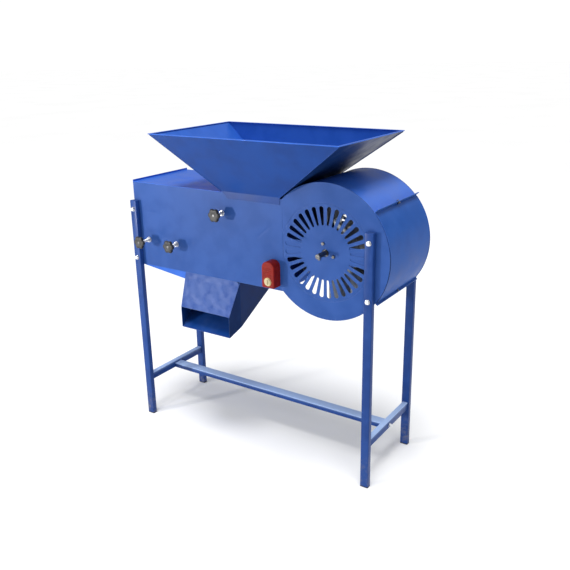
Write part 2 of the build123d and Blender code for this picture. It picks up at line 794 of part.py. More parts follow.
def feed_plate():
    """Sloping plate under the neck that leads the grain to the gate."""
    lip = (gate_x + feed_lip_x, gate_z + feed_lip_z)
    high = (neck_right - sheet - seam_gap, duct_top - neck_lip)
    return side_prism(strip(lip, high, sheet), (-inner_half, inner_half))


# Gate and deflectors

def flap_axes():
    return [(gate_x, gate_z), (grain_deflector_x, deflector_z), (outlet_deflector_x, deflector_z)]


def flap_shaft(x, z, lean, stand_off):
    """Shaft across the duct with a milled flat for its flap and thin ends in the panels."""
    flap_half = inner_half - flap_side_gap
    middle = rod(x, z, flap_shaft_radius, (-inner_half + 1.0, inner_half - 1.0))
    cut = Pos(x, 0, z) * Rot(0, lean, 0) * block((-20.0, 20.0), (-flap_half, flap_half), (flap_flat, 20.0))
    journal_front = -body_half - stand_off - knob_thickness + knob_wall
    journal = rod(x, z, flap_journal_radius, (journal_front, body_half + journal_back_end))
    return middle - cut + (journal - cut)


def flap(x, z, lean, ahead, behind):
    """Plate on the shaft's flat. It reaches ahead and behind the axis at the lean angle."""
    flap_half = inner_half - flap_side_gap
    plate = block((-behind, ahead), (-flap_half, flap_half), (flap_flat, flap_flat + sheet))
    return Pos(x, 0, z) * Rot(0, lean, 0) * plate


def star_knob(x, z, stand_off):
    """Lobed hand knob on the front end of a flap shaft."""
    back = -body_half - stand_off
    front = back - knob_thickness
    outline = Circle(knob_radius - 4.0)
    for number in range(knob_lobes):
        outline += Rot(0, 0, 360.0 / knob_lobes * number) * Pos(knob_radius - 6.5, 0) * Circle(6.5)
    body = extrude(side_plane(back - 6.0, x, z) * outline, knob_thickness - 6.0)
    neck = rod(x, z, 10.0, (back - 6.0, back))
    return body + neck - rod(x, z, flap_journal_radius, (front + knob_wall, back + 1.0))


def lock_nuts():
    """Thin nuts on the flap shafts, against the front panel."""
    nuts = []
    for x, z in flap_axes():
        nut = hexagon(m10_nut_flats, m10_nut_height) - Cylinder(flap_journal_radius + running_gap, 40.0)
        nuts.append(Pos(x, -body_half, z) * Rot(90, 0, 0) * nut)
    return nuts


def gate_lean():
    """Angle that lays the closed gate on the line from its shaft to the feed plate's lip."""
    reach = hypot(feed_lip_x, feed_lip_z)
    return (atan2(-feed_lip_z, feed_lip_x) + asin(flap_flat / reach)) * 180 / pi


def gate_length():
    return hypot(feed_lip_x, feed_lip_z) - gate_gap


# Switch and wiring

def switch_outline(inset):
    """Outline of the switch box with a rounded top."""
    width, height = switch_width - 2 * inset, switch_height - 2 * inset
    corner = switch_top_radius - inset
    box = Rectangle(width, height)
    return fillet(box.vertices().group_by(Axis.Y)[-1], corner)


def switch_box():
    """Plastic switch housing, open against the panel."""
    centre_z = switch_bottom + switch_height / 2
    shell = extrude(side_plane(-body_half, switch_x, centre_z) * switch_outline(0.0), switch_depth)
    hollow = extrude(side_plane(-body_half, switch_x, centre_z) * switch_outline(switch_wall),
                     switch_depth - switch_wall)
    stem = rod(switch_x, dial_z, dial_stem_radius + running_gap, (switch_front - 1.0, -body_half))
    return shell - hollow - stem


def switch_dial():
    """Round dial with a finger bar and a stem in the switch box."""
    gap = 0.4
    back = switch_front - gap
    disc = rod(switch_x, dial_z, dial_radius, (back - dial_depth * 0.45, back))
    grip = block((switch_x - 2.5, switch_x + 2.5), (back - dial_depth, back),
                 (dial_z - dial_radius + 2.5, dial_z + dial_radius - 2.5))
    stem = rod(switch_x, dial_z, dial_stem_radius, (back, switch_front + switch_wall + 8.0))
    return disc + grip + stem


def wiring_box():
    """Box for the capacitor and terminals, on the back panel."""
    x = (box_x - box_width / 2, box_x + box_width / 2)
    z = (box_z - box_height / 2, box_z + box_height / 2)
    shell = block(x, (body_half, body_half + box_depth), z)
    hollow = block((x[0] + box_wall, x[1] - box_wall), (body_half, body_half + box_depth),
                   (z[0] + box_wall, z[1] - box_wall))
    hole = upright(box_x, body_half + box_depth / 2, gland_radius - 3.0, (z[0] - 1.0, z[0] + box_wall + 1.0))
    return shell - hollow - hole


def wiring_lid():
    lid_y = (body_half + box_depth, body_half + box_depth + 3.0)
    return block((box_x - box_width / 2, box_x + box_width / 2), lid_y,
                 (box_z - box_height / 2, box_z + box_height / 2))


def run_capacitor():
    """Round capacitor lying in the wiring box."""
    y = body_half + capacitor_radius
    return Pos(box_x, y, box_z + 10.0) * Rot(0, 90, 0) * Cylinder(capacitor_radius, capacitor_length)


def cable_gland():
    """Gland under the wiring box, for a mains lead."""
    y = body_half + box_depth / 2
    bottom = box_z - box_height / 2
    nut = Pos(box_x, y, bottom - 8.0) * hexagon(gland_radius * 2 - 1.0, 8.0)
    nose = upright(box_x, y, gland_radius - 2.5, (bottom - gland_length, bottom - 8.0))
    thread = upright(box_x, y, gland_radius - 3.0 - fit_gap, (bottom, bottom + box_wall + 6.0))
    bore = upright(box_x, y, gland_bore, (bottom - gland_length - 1.0, bottom + box_wall + 7.0))
    return nut + nose + thread - bore


def build():
    """All named pieces in machine coordinates."""
    sides = {"left": -1, "right": 1}
    ends = {"front": -1, "back": 1}
    parts = {}
    for end, side_y in ends.items():
        for side, side_x in sides.items():
            parts[f"leg_{end}_{side}"] = leg(side_x, side_y)
    parts["leg_foot_caps"] = group(foot_cap(x, y) for x in (-1, 1) for y in (-1, 1))
    for side, side_x in sides.items():
        parts[f"cross_brace_{side}"] = cross_brace(side_x)
    parts["tie_bar"] = tie_bar()
    parts["tie_bar_bolts"] = group(tie_bolt(-1) + tie_bolt(1))
    parts["leg_bolts"] = group(leg_bolts() + leg_nuts())
    for end, side_y in ends.items():
        parts[f"duct_{end}_panel"] = duct_side(side_y)
        parts[f"drum_{end}_plate"] = drum_plate(side_y)
    parts["duct_top_panel"] = duct_top_panel()
    parts["duct_floor_left"] = duct_floor_left()
    parts["duct_floor_right"] = duct_floor_right()
    parts["chute_hood"] = chute_hood()
    for side, side_x in sides.items():
        parts[f"chute_cheek_{side}"] = chute_cheek(side_x)
    parts["chute_floor"] = chute_floor()
    parts["drum_upper_shell"] = drum_upper_shell()
    parts["drum_side_cover"] = drum_side_cover()
    parts["drum_tie_strip"] = drum_tie_strip()
    parts["seam_bolts"] = group(seam_bolt(upper_seam) + seam_bolt(lower_seam))
    parts["bearing_bar"] = bearing_bar()
    parts["bearing_housing"] = bearing_housing()
    parts["bearing"] = bearing()
    parts["bearing_bolts"] = group(bearing_bolts())
    parts["motor_bar"] = motor_bar()
    parts["motor_casing"] = motor_casing()
    parts["motor_shields"] = group(motor_shields())
    parts["motor_rotor"] = motor_rotor()
    parts["fan_shaft"] = fan_shaft()
    parts["impeller_hub"] = impeller_hub()
    parts["impeller_spider"] = impeller_spider()
    parts["impeller_blades"] = group(impeller_blades())
    parts["impeller_ring"] = impeller_ring()
    for name, wall in zip(("front", "back", "left", "right"), hopper_walls()):
        parts[f"hopper_{name}_wall"] = wall
    parts["hopper_rim_strip"] = hopper_rim_strip()
    parts["feed_plate"] = feed_plate()
    long, short = deflector_long_side, deflector_short_side
    flaps = {
        "gate": (gate_x, gate_z, gate_lean(), gate_length(), flap_shaft_radius, knob_stand_off),
        "grain_deflector": (grain_deflector_x, deflector_z, 90.0, long, short, knob_stand_off),
        "outlet_deflector": (outlet_deflector_x, deflector_z, -90.0, long, short,
                             outlet_knob_stand_off),
    }
    for name, (x, z, lean, ahead, behind, stand_off) in flaps.items():
        parts[f"{name}_shaft"] = flap_shaft(x, z, lean, stand_off)
        parts[f"{name}_flap"] = flap(x, z, lean, ahead, behind)
        parts[f"{name}_knob"] = star_knob(x, z, stand_off)
    parts["lock_nuts"] = group(lock_nuts())
    parts["switch_box"] = switch_box()
    parts["switch_dial"] = switch_dial()
    parts["wiring_box"] = wiring_box()
    parts["wiring_lid"] = wiring_lid()
    parts["run_capacitor"] = run_capacitor()
    parts["cable_gland"] = cable_gland()
    return parts


parts = build()
whole = Compound(children=[part.moved(Location()) for part in parts.values()]).bounding_box()
# The finished part's origin is on the floor under the middle of its bounding box.
home = (-(whole.min.X + whole.max.X) / 2, -(whole.min.Y + whole.max.Y) / 2, 0.0)

if __name__ == "__main__":
    os.makedirs("parts", exist_ok=True)
    for name, part in parts.items():
        export_step(part.moved(Location(home)), f"parts/{name}.step")
    print(len(parts), "nodes, moved home by", [round(value, 3) for value in home])
    print("size", [round(value, 2) for value in (whole.size.X, whole.size.Y, whole.size.Z)])
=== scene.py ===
import json
import math

import bpy
import numpy as np
from mathutils import Matrix, Vector


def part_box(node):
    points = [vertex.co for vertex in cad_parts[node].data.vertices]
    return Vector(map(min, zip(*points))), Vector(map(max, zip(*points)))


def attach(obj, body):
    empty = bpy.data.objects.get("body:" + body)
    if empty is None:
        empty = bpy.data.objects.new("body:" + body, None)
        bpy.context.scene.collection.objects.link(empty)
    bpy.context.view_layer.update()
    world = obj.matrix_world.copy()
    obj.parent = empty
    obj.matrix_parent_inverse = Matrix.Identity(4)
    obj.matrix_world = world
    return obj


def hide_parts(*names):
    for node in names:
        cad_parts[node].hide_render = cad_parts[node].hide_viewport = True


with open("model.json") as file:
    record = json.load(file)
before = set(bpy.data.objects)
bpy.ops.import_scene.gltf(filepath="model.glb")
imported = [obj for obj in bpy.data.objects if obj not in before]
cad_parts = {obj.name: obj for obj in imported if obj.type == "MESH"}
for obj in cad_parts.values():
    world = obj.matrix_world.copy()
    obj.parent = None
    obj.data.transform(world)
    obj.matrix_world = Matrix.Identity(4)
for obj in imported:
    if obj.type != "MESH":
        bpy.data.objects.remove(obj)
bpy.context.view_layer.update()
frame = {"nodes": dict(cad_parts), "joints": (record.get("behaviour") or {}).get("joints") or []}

nodes = frame["nodes"]
jointPlace = {j["name"]: np.array(j["pos_m"]) for j in frame["joints"]}
mm = 0.001


# Places read from the frame.

def corners(node):
    low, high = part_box(node)
    return np.array(low), np.array(high)


panelLow, panelHigh = corners("duct_front_panel")
drumCentre = jointPlace["fan_spin"]
drumRadius = corners("drum_front_plate")[1][2] - drumCentre[2]
frontY = panelLow[1]                          # outer face of the front panel
backY = corners("duct_back_panel")[1][1]      # outer face of the back panel
sheetGauge = panelHigh[1] - panelLow[1]
print("frame loaded:", len(nodes), "CAD nodes")


# Mesh tools.

# Quads between neighbouring rings of a (rows, columns, 3) grid, with a flat face on each end.
def gridPart(points):
    rows, columns = points.shape[:2]
    index = np.arange(rows * columns).reshape(rows, columns)
    following = np.roll(index, -1, axis=1)
    quads = np.stack([index[:-1], following[:-1], following[1:], index[1:]], axis=-1).reshape(-1, 4)
    return points.reshape(-1, 3), quads.tolist() + [index[0, ::-1].tolist(), index[-1].tolist()]


# A closed ring of closed profiles: both directions of the grid wrap round.
def loopPart(points):
    rows, columns = points.shape[:2]
    index = np.arange(rows * columns).reshape(rows, columns)
    down, across = np.roll(index, -1, axis=0), np.roll(index, -1, axis=1)
    both = np.roll(down, -1, axis=1)
    return points.reshape(-1, 3), np.stack([index, across, both, down], axis=-1).reshape(-1, 4).tolist()


# A sheet: an outer and an inner (rows, columns, 3) surface closed round all four edges.
def shellPart(outer, inner):
    rows, columns = outer.shape[:2]
    count = rows * columns
    index = np.arange(count).reshape(rows, columns)
    top = np.stack([index[:-1, :-1], index[:-1, 1:], index[1:, 1:], index[1:, :-1]], axis=-1)
    top = top.reshape(-1, 4)
    rim = np.concatenate([index[0, :-1], index[:-1, -1], index[-1, :0:-1], index[:0:-1, 0]])
    nextRim = np.roll(rim, -1)
    side = np.stack([rim, rim + count, nextRim + count, nextRim], axis=-1)
    faces = np.concatenate([top, top[:, ::-1] + count, side]).tolist()
    return np.concatenate([outer.reshape(-1, 3), inner.reshape(-1, 3)]), faces


# Turns a closed part's faces outwards: the signed volume under its faces has to be positive.
def outward(part):
    points, faces = part
    triangles = np.array([(f[0], f[k], f[k + 1]) for f in faces for k in range(1, len(f) - 1)])
    a, b, c = (points[triangles[:, k]] for k in range(3))
    volume = np.einsum("ij,ij->i", a, np.cross(b, c)).sum()
    return part if volume > 0 else (points, [f[::-1] for f in faces])


# One mesh object from closed parts, riding on a CAD body.
def makePiece(name, parts, material, body, stands=(), smoothAngle=35.0):
    allPoints, allFaces, offset = [], [], 0
    for part in parts:
        points, faces = outward(part)
        allPoints.append(points)
        allFaces += [[i + offset for i in f] for f in faces]
        offset += len(points)
    mesh = bpy.data.meshes.new(name)
    mesh.from_pydata(np.concatenate(allPoints).tolist(), [], allFaces)
    mesh.polygons.foreach_set("use_smooth", np.ones(len(mesh.polygons), bool))
    mesh.set_sharp_from_angle(angle=math.radians(smoothAngle))
    mesh.materials.append(material)
    piece = bpy.data.objects.new(name, mesh)
    bpy.context.scene.collection.objects.link(piece)
    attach(piece, body)
    if stands:
        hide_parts(*stands)


# Two unit vectors square to an axis.
def axisFrame(axis):
    axis = np.array(axis, float) / np.linalg.norm(axis)
    side = np.cross(axis, (0.0, 0.0, 1.0) if abs(axis[2]) < 0.9 else (1.0, 0.0, 0.0))
    side /= np.linalg.norm(side)
    return axis, side, np.cross(axis, side)


# Point = centre + axis * height + (side * cos + up * sin) * radius, for each height and angle.
def turned(centre, axis, heights, radii, angles):
    axis, side, up = axisFrame(axis)
    around = np.cos(angles)[None, :, None] * side + np.sin(angles)[None, :, None] * up
    radii = np.broadcast_to(radii, (len(heights), len(angles)))
    return np.array(centre) + heights[:, None, None] * axis + radii[..., None] * around


def fullTurn(count):
    return np.arange(count) * 2 * np.pi / count


# Rectangle with round corners: each corner's centre plus a quarter circle of its radius.
def roundedOutline(halfWidth, halfHeight, radius, steps=5):
    angles = np.concatenate([np.linspace(q, q + 90, steps) for q in (0, 90, 180, 270)]) * np.pi / 180
    signs = np.repeat([(1, 1), (-1, 1), (-1, -1), (1, -1)], steps, axis=0)
    centres = signs * (halfWidth - radius, halfHeight - radius)
    return centres + radius * np.stack([np.cos(angles), np.sin(angles)], axis=1)


# Round bead along a path: its radius swells by the ripple once every pitch, as a weld's does.
def pathBead(path, radius, ripple=0.0, ripplePitch=0.004, sides=10):
    path = np.array(path, float)
    along = np.gradient(path, axis=0)
    along /= np.linalg.norm(along, axis=1)[:, None]
    slanted = np.array((0.31, 0.52, 0.79))      # parallel to no path in the model
    side = np.cross(along, slanted)
    side /= np.linalg.norm(side, axis=1)[:, None]
    up = np.cross(along, side)
    length = np.concatenate([[0], np.cumsum(np.linalg.norm(np.diff(path, axis=0), axis=1))])
    swell = radius * (1 + ripple * np.abs(np.sin(np.pi * length / ripplePitch)))
    ends = np.minimum(length, length[-1] - length)
    swell = swell * np.sqrt(np.clip(ends / radius, 0.02, 1))
    angles = fullTurn(sides)
    around = np.cos(angles)[None, :, None] * side[:, None] + np.sin(angles)[None, :, None] * up[:, None]
    return gridPart(path[:, None] + swell[:, None, None] * around)


def straightPath(start, end, spacing=0.002):
    start, end = np.array(start, float), np.array(end, float)
    count = max(4, int(np.linalg.norm(end - start) / spacing))
    return start + np.linspace(0, 1, count)[:, None] * (end - start)


# Shared shader groups.

def newGroup(name, inputs, outputs):
    group = bpy.data.node_groups.new(name, "ShaderNodeTree")
    for label, kind, value in inputs:
        socket = group.interface.new_socket(label, in_out="INPUT", socket_type=kind)
        if value is not None:
            socket.default_value = value
    for label, kind in outputs:
        group.interface.new_socket(label, in_out="OUTPUT", socket_type=kind)
    return group, group.nodes.new("NodeGroupInput"), group.nodes.new("NodeGroupOutput")


def setInputs(node, **values):
    for key, value in values.items():
        node.inputs[key.replace("_", " ")].default_value = value
    return node


def addNode(tree, kind, settings=None, **values):
    node = tree.nodes.new(kind)
    for key, value in (settings or {}).items():
        setattr(node, key, value)
    return setInputs(node, **values)


def noiseNode(tree, vector, scale, detail=3.0, roughness=0.5):
    node = addNode(tree, "ShaderNodeTexNoise", Scale=scale, Detail=detail, Roughness=roughness)
    tree.links.new(vector, node.inputs["Vector"])
    return node.outputs["Fac"]


def rampNode(tree, value, low, high, toLow=0.0, toHigh=1.0):
    node = addNode(tree, "ShaderNodeMapRange", {"interpolation_type": "SMOOTHSTEP"})
    tree.links.new(value, node.inputs["Value"])
    for key, number in (("From Min", low), ("From Max", high), ("To Min", toLow), ("To Max", toHigh)):
        node.inputs[key].default_value = number
    return node.outputs["Result"]


def mathNode(tree, operation, first, second):
    node = addNode(tree, "ShaderNodeMath", {"operation": operation})
    for socket, value in zip(node.inputs, (first, second)):
        if isinstance(value, (int, float)):
            socket.default_value = value
        else:
            tree.links.new(value, socket)
    return node.outputs[0]


def times(tree, first, second):
    return mathNode(tree, "MULTIPLY", first, second)


def plus(tree, first, second):
    return mathNode(tree, "ADD", first, second)


# The part of a face's normal that points up, from -1 to 1.
def facingUp(tree):
    split = tree.nodes.new("ShaderNodeSeparateXYZ")
    tree.links.new(tree.nodes.new("ShaderNodeNewGeometry").outputs["Normal"], split.inputs[0])
    return split.outputs["Z"]


def mixColour(tree, factor, first, second):
    node = addNode(tree, "ShaderNodeMix", {"data_type": "RGBA"})
    for socket, value in ((node.inputs[0], factor), (node.inputs[6], first), (node.inputs[7], second)):
        if isinstance(value, (int, float, tuple)):
            socket.default_value = value if not isinstance(value, tuple) else (*value[:3], 1.0)
        else:
            tree.links.new(value, socket)
    return node.outputs[2]


# Mask of edges, used both for rubbed wear and for a painted edge highlight: where a rounded normal
# leaves the true one. The rounded normal goes out too.
def buildEdgeGroup():
    group, into, out = newGroup("edgeWear", [("Radius", "NodeSocketFloat", 0.0012)],
                                [("Normal", "NodeSocketVector"), ("Mask", "NodeSocketFloat")])
    bevel = addNode(group, "ShaderNodeBevel", {"samples": 6})
    group.links.new(into.outputs["Radius"], bevel.inputs["Radius"])
    geometry = group.nodes.new("ShaderNodeNewGeometry")
    dot = addNode(group, "ShaderNodeVectorMath", {"operation": "DOT_PRODUCT"})
    group.links.new(bevel.outputs["Normal"], dot.inputs[0])
    group.links.new(geometry.outputs["Normal"], dot.inputs[1])
    group.links.new(bevel.outputs["Normal"], out.inputs["Normal"])
    group.links.new(rampNode(group, dot.outputs["Value"], 0.99, 0.85), out.inputs["Mask"])
    return group


# Dust that lies on faces turned up, and dirt that has splashed up from the floor.
def buildDustGroup():
    group, into, out = newGroup("workshopDust", [("Vector", "NodeSocketVector", None),
                                                 ("Dust", "NodeSocketFloat", 0.3),
                                                 ("Splash", "NodeSocketFloat", 0.4)],
                                [("Dust", "NodeSocketFloat"), ("Splash", "NodeSocketFloat")])
    vector = into.outputs["Vector"]
    facing = rampNode(group, facingUp(group), 0.25, 1.0)
    patches = rampNode(group, noiseNode(group, vector, 9.0, 5.0, 0.6), 0.35, 0.7)
    dust = times(group, times(group, facing, patches), into.outputs["Dust"])
    place = group.nodes.new("ShaderNodeSeparateXYZ")
    group.links.new(vector, place.inputs[0])
    lowDown = rampNode(group, place.outputs["Z"], 0.16, 0.0)
    spots = rampNode(group, noiseNode(group, vector, 45.0, 4.0, 0.65), 0.42, 0.72)
    splash = times(group, times(group, lowDown, spots), into.outputs["Splash"])
    group.links.new(dust, out.inputs["Dust"])
    group.links.new(splash, out.inputs["Splash"])
    return group


# Sprayed enamel: slow drift in tone, mottling, slight waves and orange peel.
def buildPaintGroup():
    group, into, out = newGroup("sprayedEnamel", [("Vector", "NodeSocketVector", None),
                                                  ("Mottle", "NodeSocketFloat", 17.0)],
                                [("Tone", "NodeSocketFloat"), ("Roughness", "NodeSocketFloat"),
                                 ("Height", "NodeSocketFloat")])
    vector = into.outputs["Vector"]
    drift = noiseNode(group, vector, 3.2, 2.0, 0.45)
    blotch = addNode(group, "ShaderNodeTexNoise", Detail=2.0, Roughness=0.45)
    group.links.new(vector, blotch.inputs["Vector"])
    group.links.new(into.outputs["Mottle"], blotch.inputs["Scale"])
    blotch = blotch.outputs["Fac"]
    tone = plus(group, times(group, drift, 0.5), times(group, blotch, 0.5))
    group.links.new(rampNode(group, tone, 0.38, 0.62), out.inputs["Tone"])
    group.links.new(rampNode(group, blotch, 0.3, 0.7, 0.30, 0.42), out.inputs["Roughness"])
    peel = times(group, noiseNode(group, vector, 480.0, 2.0, 0.5), 0.00003)
    wave = times(group, noiseNode(group, vector, 5.5, 1.0, 0.4), 0.003)
    group.links.new(plus(group, peel, wave), out.inputs["Height"])
    return group


# Plated or rolled metal: crystal patches under soft clouds.
def buildMetalGroup():
    group, into, out = newGroup("platedMetal", [("Vector", "NodeSocketVector", None),
                                                ("Grain", "NodeSocketFloat", 260.0)],
                                [("Tone", "NodeSocketFloat"), ("Roughness", "NodeSocketFloat"),
                                 ("Height", "NodeSocketFloat")])
    vector = into.outputs["Vector"]
    cells = addNode(group, "ShaderNodeTexVoronoi", {"feature": "F1"})
    group.links.new(vector, cells.inputs["Vector"])
    group.links.new(into.outputs["Grain"], cells.inputs["Scale"])
    split = group.nodes.new("ShaderNodeSeparateXYZ")
    group.links.new(cells.outputs["Color"], split.inputs[0])
    clouds = noiseNode(group, vector, 90.0, 4.0, 0.6)
    tone = plus(group, times(group, split.outputs["X"], 0.5), times(group, clouds, 0.5))
    group.links.new(tone, out.inputs["Tone"])
    group.links.new(rampNode(group, tone, 0.2, 0.8, 0.22, 0.42), out.inputs["Roughness"])
    group.links.new(times(group, clouds, 0.00006), out.inputs["Height"])
    return group


edgeGroup = buildEdgeGroup()
dustGroup = buildDustGroup()
paintGroup = buildPaintGroup()
metalGroup = buildMetalGroup()


def startMaterial(name):
    material = bpy.data.materials.new(name)
    material.use_nodes = True
    tree = material.node_tree
    shader = tree.nodes["Principled BSDF"]
    place = tree.nodes.new("ShaderNodeTexCoord").outputs["Object"]
    return material, tree, shader, place


def placeGroup(tree, group, place=None, **values):
    node = tree.nodes.new("ShaderNodeGroup")
    node.node_tree = group
    if place is not None:
        tree.links.new(place, node.inputs["Vector"])
    return setInputs(node, **values)


def finishBump(tree, shader, height, normal):
    bump = addNode(tree, "ShaderNodeBump", Strength=1.0, Distance=1.0)
    tree.links.new(height, bump.inputs["Height"])
    tree.links.new(normal, bump.inputs["Normal"])
    tree.links.new(bump.outputs["Normal"], shader.inputs["Normal"])


paintTints = {"rubbed": (0.26, 0.38, 0.72), "dust": (0.34, 0.40, 0.52), "splash": (0.23, 0.21, 0.19)}


# Blue enamel on sheet steel, with edges lighter: partly rubbed wear, partly painted highlight.
def bluePaint(name, light, dark, dust=0.06, splash=0.0, edge=0.35, coat=0.04, gloss=0.2,
              mottle=17.0, upFacingPaintedLight=None):
    material, tree, shader, place = startMaterial(name)
    skin = placeGroup(tree, paintGroup, place, Mottle=mottle)
    dirt = placeGroup(tree, dustGroup, place, Dust=dust, Splash=splash)
    edges = placeGroup(tree, edgeGroup, Radius=0.0011)
    colour = mixColour(tree, skin.outputs["Tone"], dark, light)
    if upFacingPaintedLight:                      # painted light and shade: faces turned up get this colour, the rest keep the darker tones
        colour = mixColour(tree, rampNode(tree, facingUp(tree), 0.0, 0.3), colour, upFacingPaintedLight)
    wearAndHighlightAmount = rampNode(tree, noiseNode(tree, place, 38.0, 4.0, 0.6), 0.38, 0.62, edge * 0.45, edge)
    # edges lighter: partly rubbed wear, partly painted highlight
    rubbed = times(tree, edges.outputs["Mask"], wearAndHighlightAmount)
    for factor, tint in ((rubbed, paintTints["rubbed"]), (dirt.outputs["Dust"], paintTints["dust"]),
                         (dirt.outputs["Splash"], paintTints["splash"])):
        colour = mixColour(tree, factor, colour, tint)
    tree.links.new(colour, shader.inputs["Base Color"])
    rough = plus(tree, skin.outputs["Roughness"], times(tree, dirt.outputs["Dust"], 0.5))
    tree.links.new(rough, shader.inputs["Roughness"])
    setInputs(shader, Specular_IOR_Level=gloss, Coat_Weight=coat, Coat_Roughness=0.16)
    finishBump(tree, shader, skin.outputs["Height"], edges.outputs["Normal"])
    return material


def metal(name, light, dark, grain=260.0, metallic=1.0, roughAdd=0.0, edgeRadius=0.0006):
    material, tree, shader, place = startMaterial(name)
    skin = placeGroup(tree, metalGroup, place, Grain=grain)
    edges = placeGroup(tree, edgeGroup, Radius=edgeRadius)
    colour = mixColour(tree, skin.outputs["Tone"], dark, light)
    # edges lighter: partly wear, partly painted highlight
    colour = mixColour(tree, times(tree, edges.outputs["Mask"], 0.4), colour, light)
    tree.links.new(colour, shader.inputs["Base Color"])
    setInputs(shader, Metallic=metallic)
    tree.links.new(plus(tree, skin.outputs["Roughness"], roughAdd), shader.inputs["Roughness"])
    finishBump(tree, shader, skin.outputs["Height"], edges.outputs["Normal"])
    return material


def plastic(name, light, dark, roughness, grain=420.0, depth=0.00004, dust=0.12, gloss=0.4):
    material, tree, shader, place = startMaterial(name)
    dirt = placeGroup(tree, dustGroup, place, Dust=dust, Splash=0.3)
    edges = placeGroup(tree, edgeGroup, Radius=0.0006)
    cloud = noiseNode(tree, place, 60.0, 4.0, 0.6)
    colour = mixColour(tree, rampNode(tree, cloud, 0.3, 0.7), dark, light)
    # edges lighter: partly wear, partly painted highlight
    colour = mixColour(tree, times(tree, edges.outputs["Mask"], 0.25), colour,
                       tuple(min(1.0, c * 1.6 + 0.03) for c in light))
    colour = mixColour(tree, dirt.outputs["Dust"], colour, (0.32, 0.31, 0.30))
    tree.links.new(colour, shader.inputs["Base Color"])
    rough = rampNode(tree, cloud, 0.3, 0.7, roughness - 0.06, roughness + 0.08)
    tree.links.new(rough, shader.inputs["Roughness"])
    setInputs(shader, Specular_IOR_Level=gloss)
    fine = times(tree, noiseNode(tree, place, grain, 2.0, 0.5), depth)
    finishBump(tree, shader, fine, edges.outputs["Normal"])
    return material


# A light and a dark tone for each blue. The top blue is painted light, a lighter copy of the body blue
# for faces the light falls on; the deep and shade blues are painted shade, darker copies for faces
# turned away from it.
blues = {
    "body": ((0.030, 0.088, 0.320), (0.022, 0.072, 0.275)),
    "cover": ((0.024, 0.100, 0.390), (0.018, 0.082, 0.335)),
    "top": ((0.032, 0.138, 0.600), (0.024, 0.116, 0.530)),
    "deep": ((0.007, 0.050, 0.245), (0.005, 0.040, 0.205)),
    "beaten": ((0.060, 0.112, 0.330), (0.026, 0.068, 0.270)),
    "frame": ((0.016, 0.058, 0.240), (0.011, 0.044, 0.195)),
    "shade": ((0.008, 0.030, 0.118), (0.006, 0.022, 0.090)),
}
enamel = {
    "body": bluePaint("blueBody", *blues["body"], gloss=0.10, coat=0.0),
    "cover": bluePaint("blueCover", *blues["cover"], gloss=0.05, coat=0.0),
    # painted light: lighter copy of the body blue for faces the light falls on
    "bright": bluePaint("blueTop", *blues["top"], dust=0.04, gloss=0.12),
    # painted shade: darker copy of the body blue for faces turned down or inside the chute
    "deep": bluePaint("blueDeep", *blues["deep"], gloss=0.12),
    "beaten": bluePaint("blueBeaten", *blues["beaten"], gloss=0.22, mottle=38.0),
    "frame": bluePaint("blueFrame", *blues["frame"], splash=0.55, edge=0.5, gloss=0.12),
    # painted highlight: the tops of the braces and tie bar get a pale blue, as sky glare
    "skylit": bluePaint("blueSkylit", *blues["frame"], splash=0.3, edge=0.5, gloss=0.12,
                        upFacingPaintedLight=(0.40, 0.55, 0.86)),
    # painted shade: very dark blue on faces turned away from the light, normal blue on faces turned up
    "shade": bluePaint("blueShade", *blues["shade"], coat=0.0, gloss=0.06, upFacingPaintedLight=(0.024, 0.100, 0.440)),
}
steel = {
    "zinc": metal("zincPlate", (0.80, 0.81, 0.82), (0.55, 0.56, 0.58)),
    "shaft": metal("shaftSteel", (0.22, 0.22, 0.23), (0.07, 0.07, 0.07), grain=600.0, roughAdd=0.05),
    # painted shade: galvanised sheet given darker tones than its own, for the dark inside of the drum
    # and duct
    "galvanised": metal("galvanisedSheet", (0.30, 0.32, 0.35), (0.16, 0.18, 0.21), grain=70.0,
                        roughAdd=0.08),
    "aluminium": metal("castAluminium", (0.62, 0.62, 0.62), (0.42, 0.42, 0.43), grain=900.0,
                       roughAdd=0.18),
    "motor": metal("motorPaint", (0.10, 0.11, 0.12), (0.06, 0.065, 0.07), metallic=0.0, roughAdd=0.15),
    "iron": metal("coreIron", (0.20, 0.18, 0.16), (0.10, 0.09, 0.08), grain=700.0, roughAdd=0.25),
    "brass": metal("dullBrass", (0.62, 0.52, 0.26), (0.40, 0.33, 0.15), grain=500.0, roughAdd=0.08),
}
moulded = {
    "black": plastic("blackNylon", (0.020, 0.020, 0.022), (0.011, 0.011, 0.012), 0.42),
    "red": plastic("redMoulding", (0.25, 0.011, 0.006), (0.17, 0.007, 0.004), 0.46, dust=0.0,
                   gloss=0.15),
    "cream": plastic("creamMoulding", (0.62, 0.55, 0.34), (0.52, 0.45, 0.27), 0.40, dust=0.1),
}
print("materials made")


# Finishes of the CAD pieces that stay.

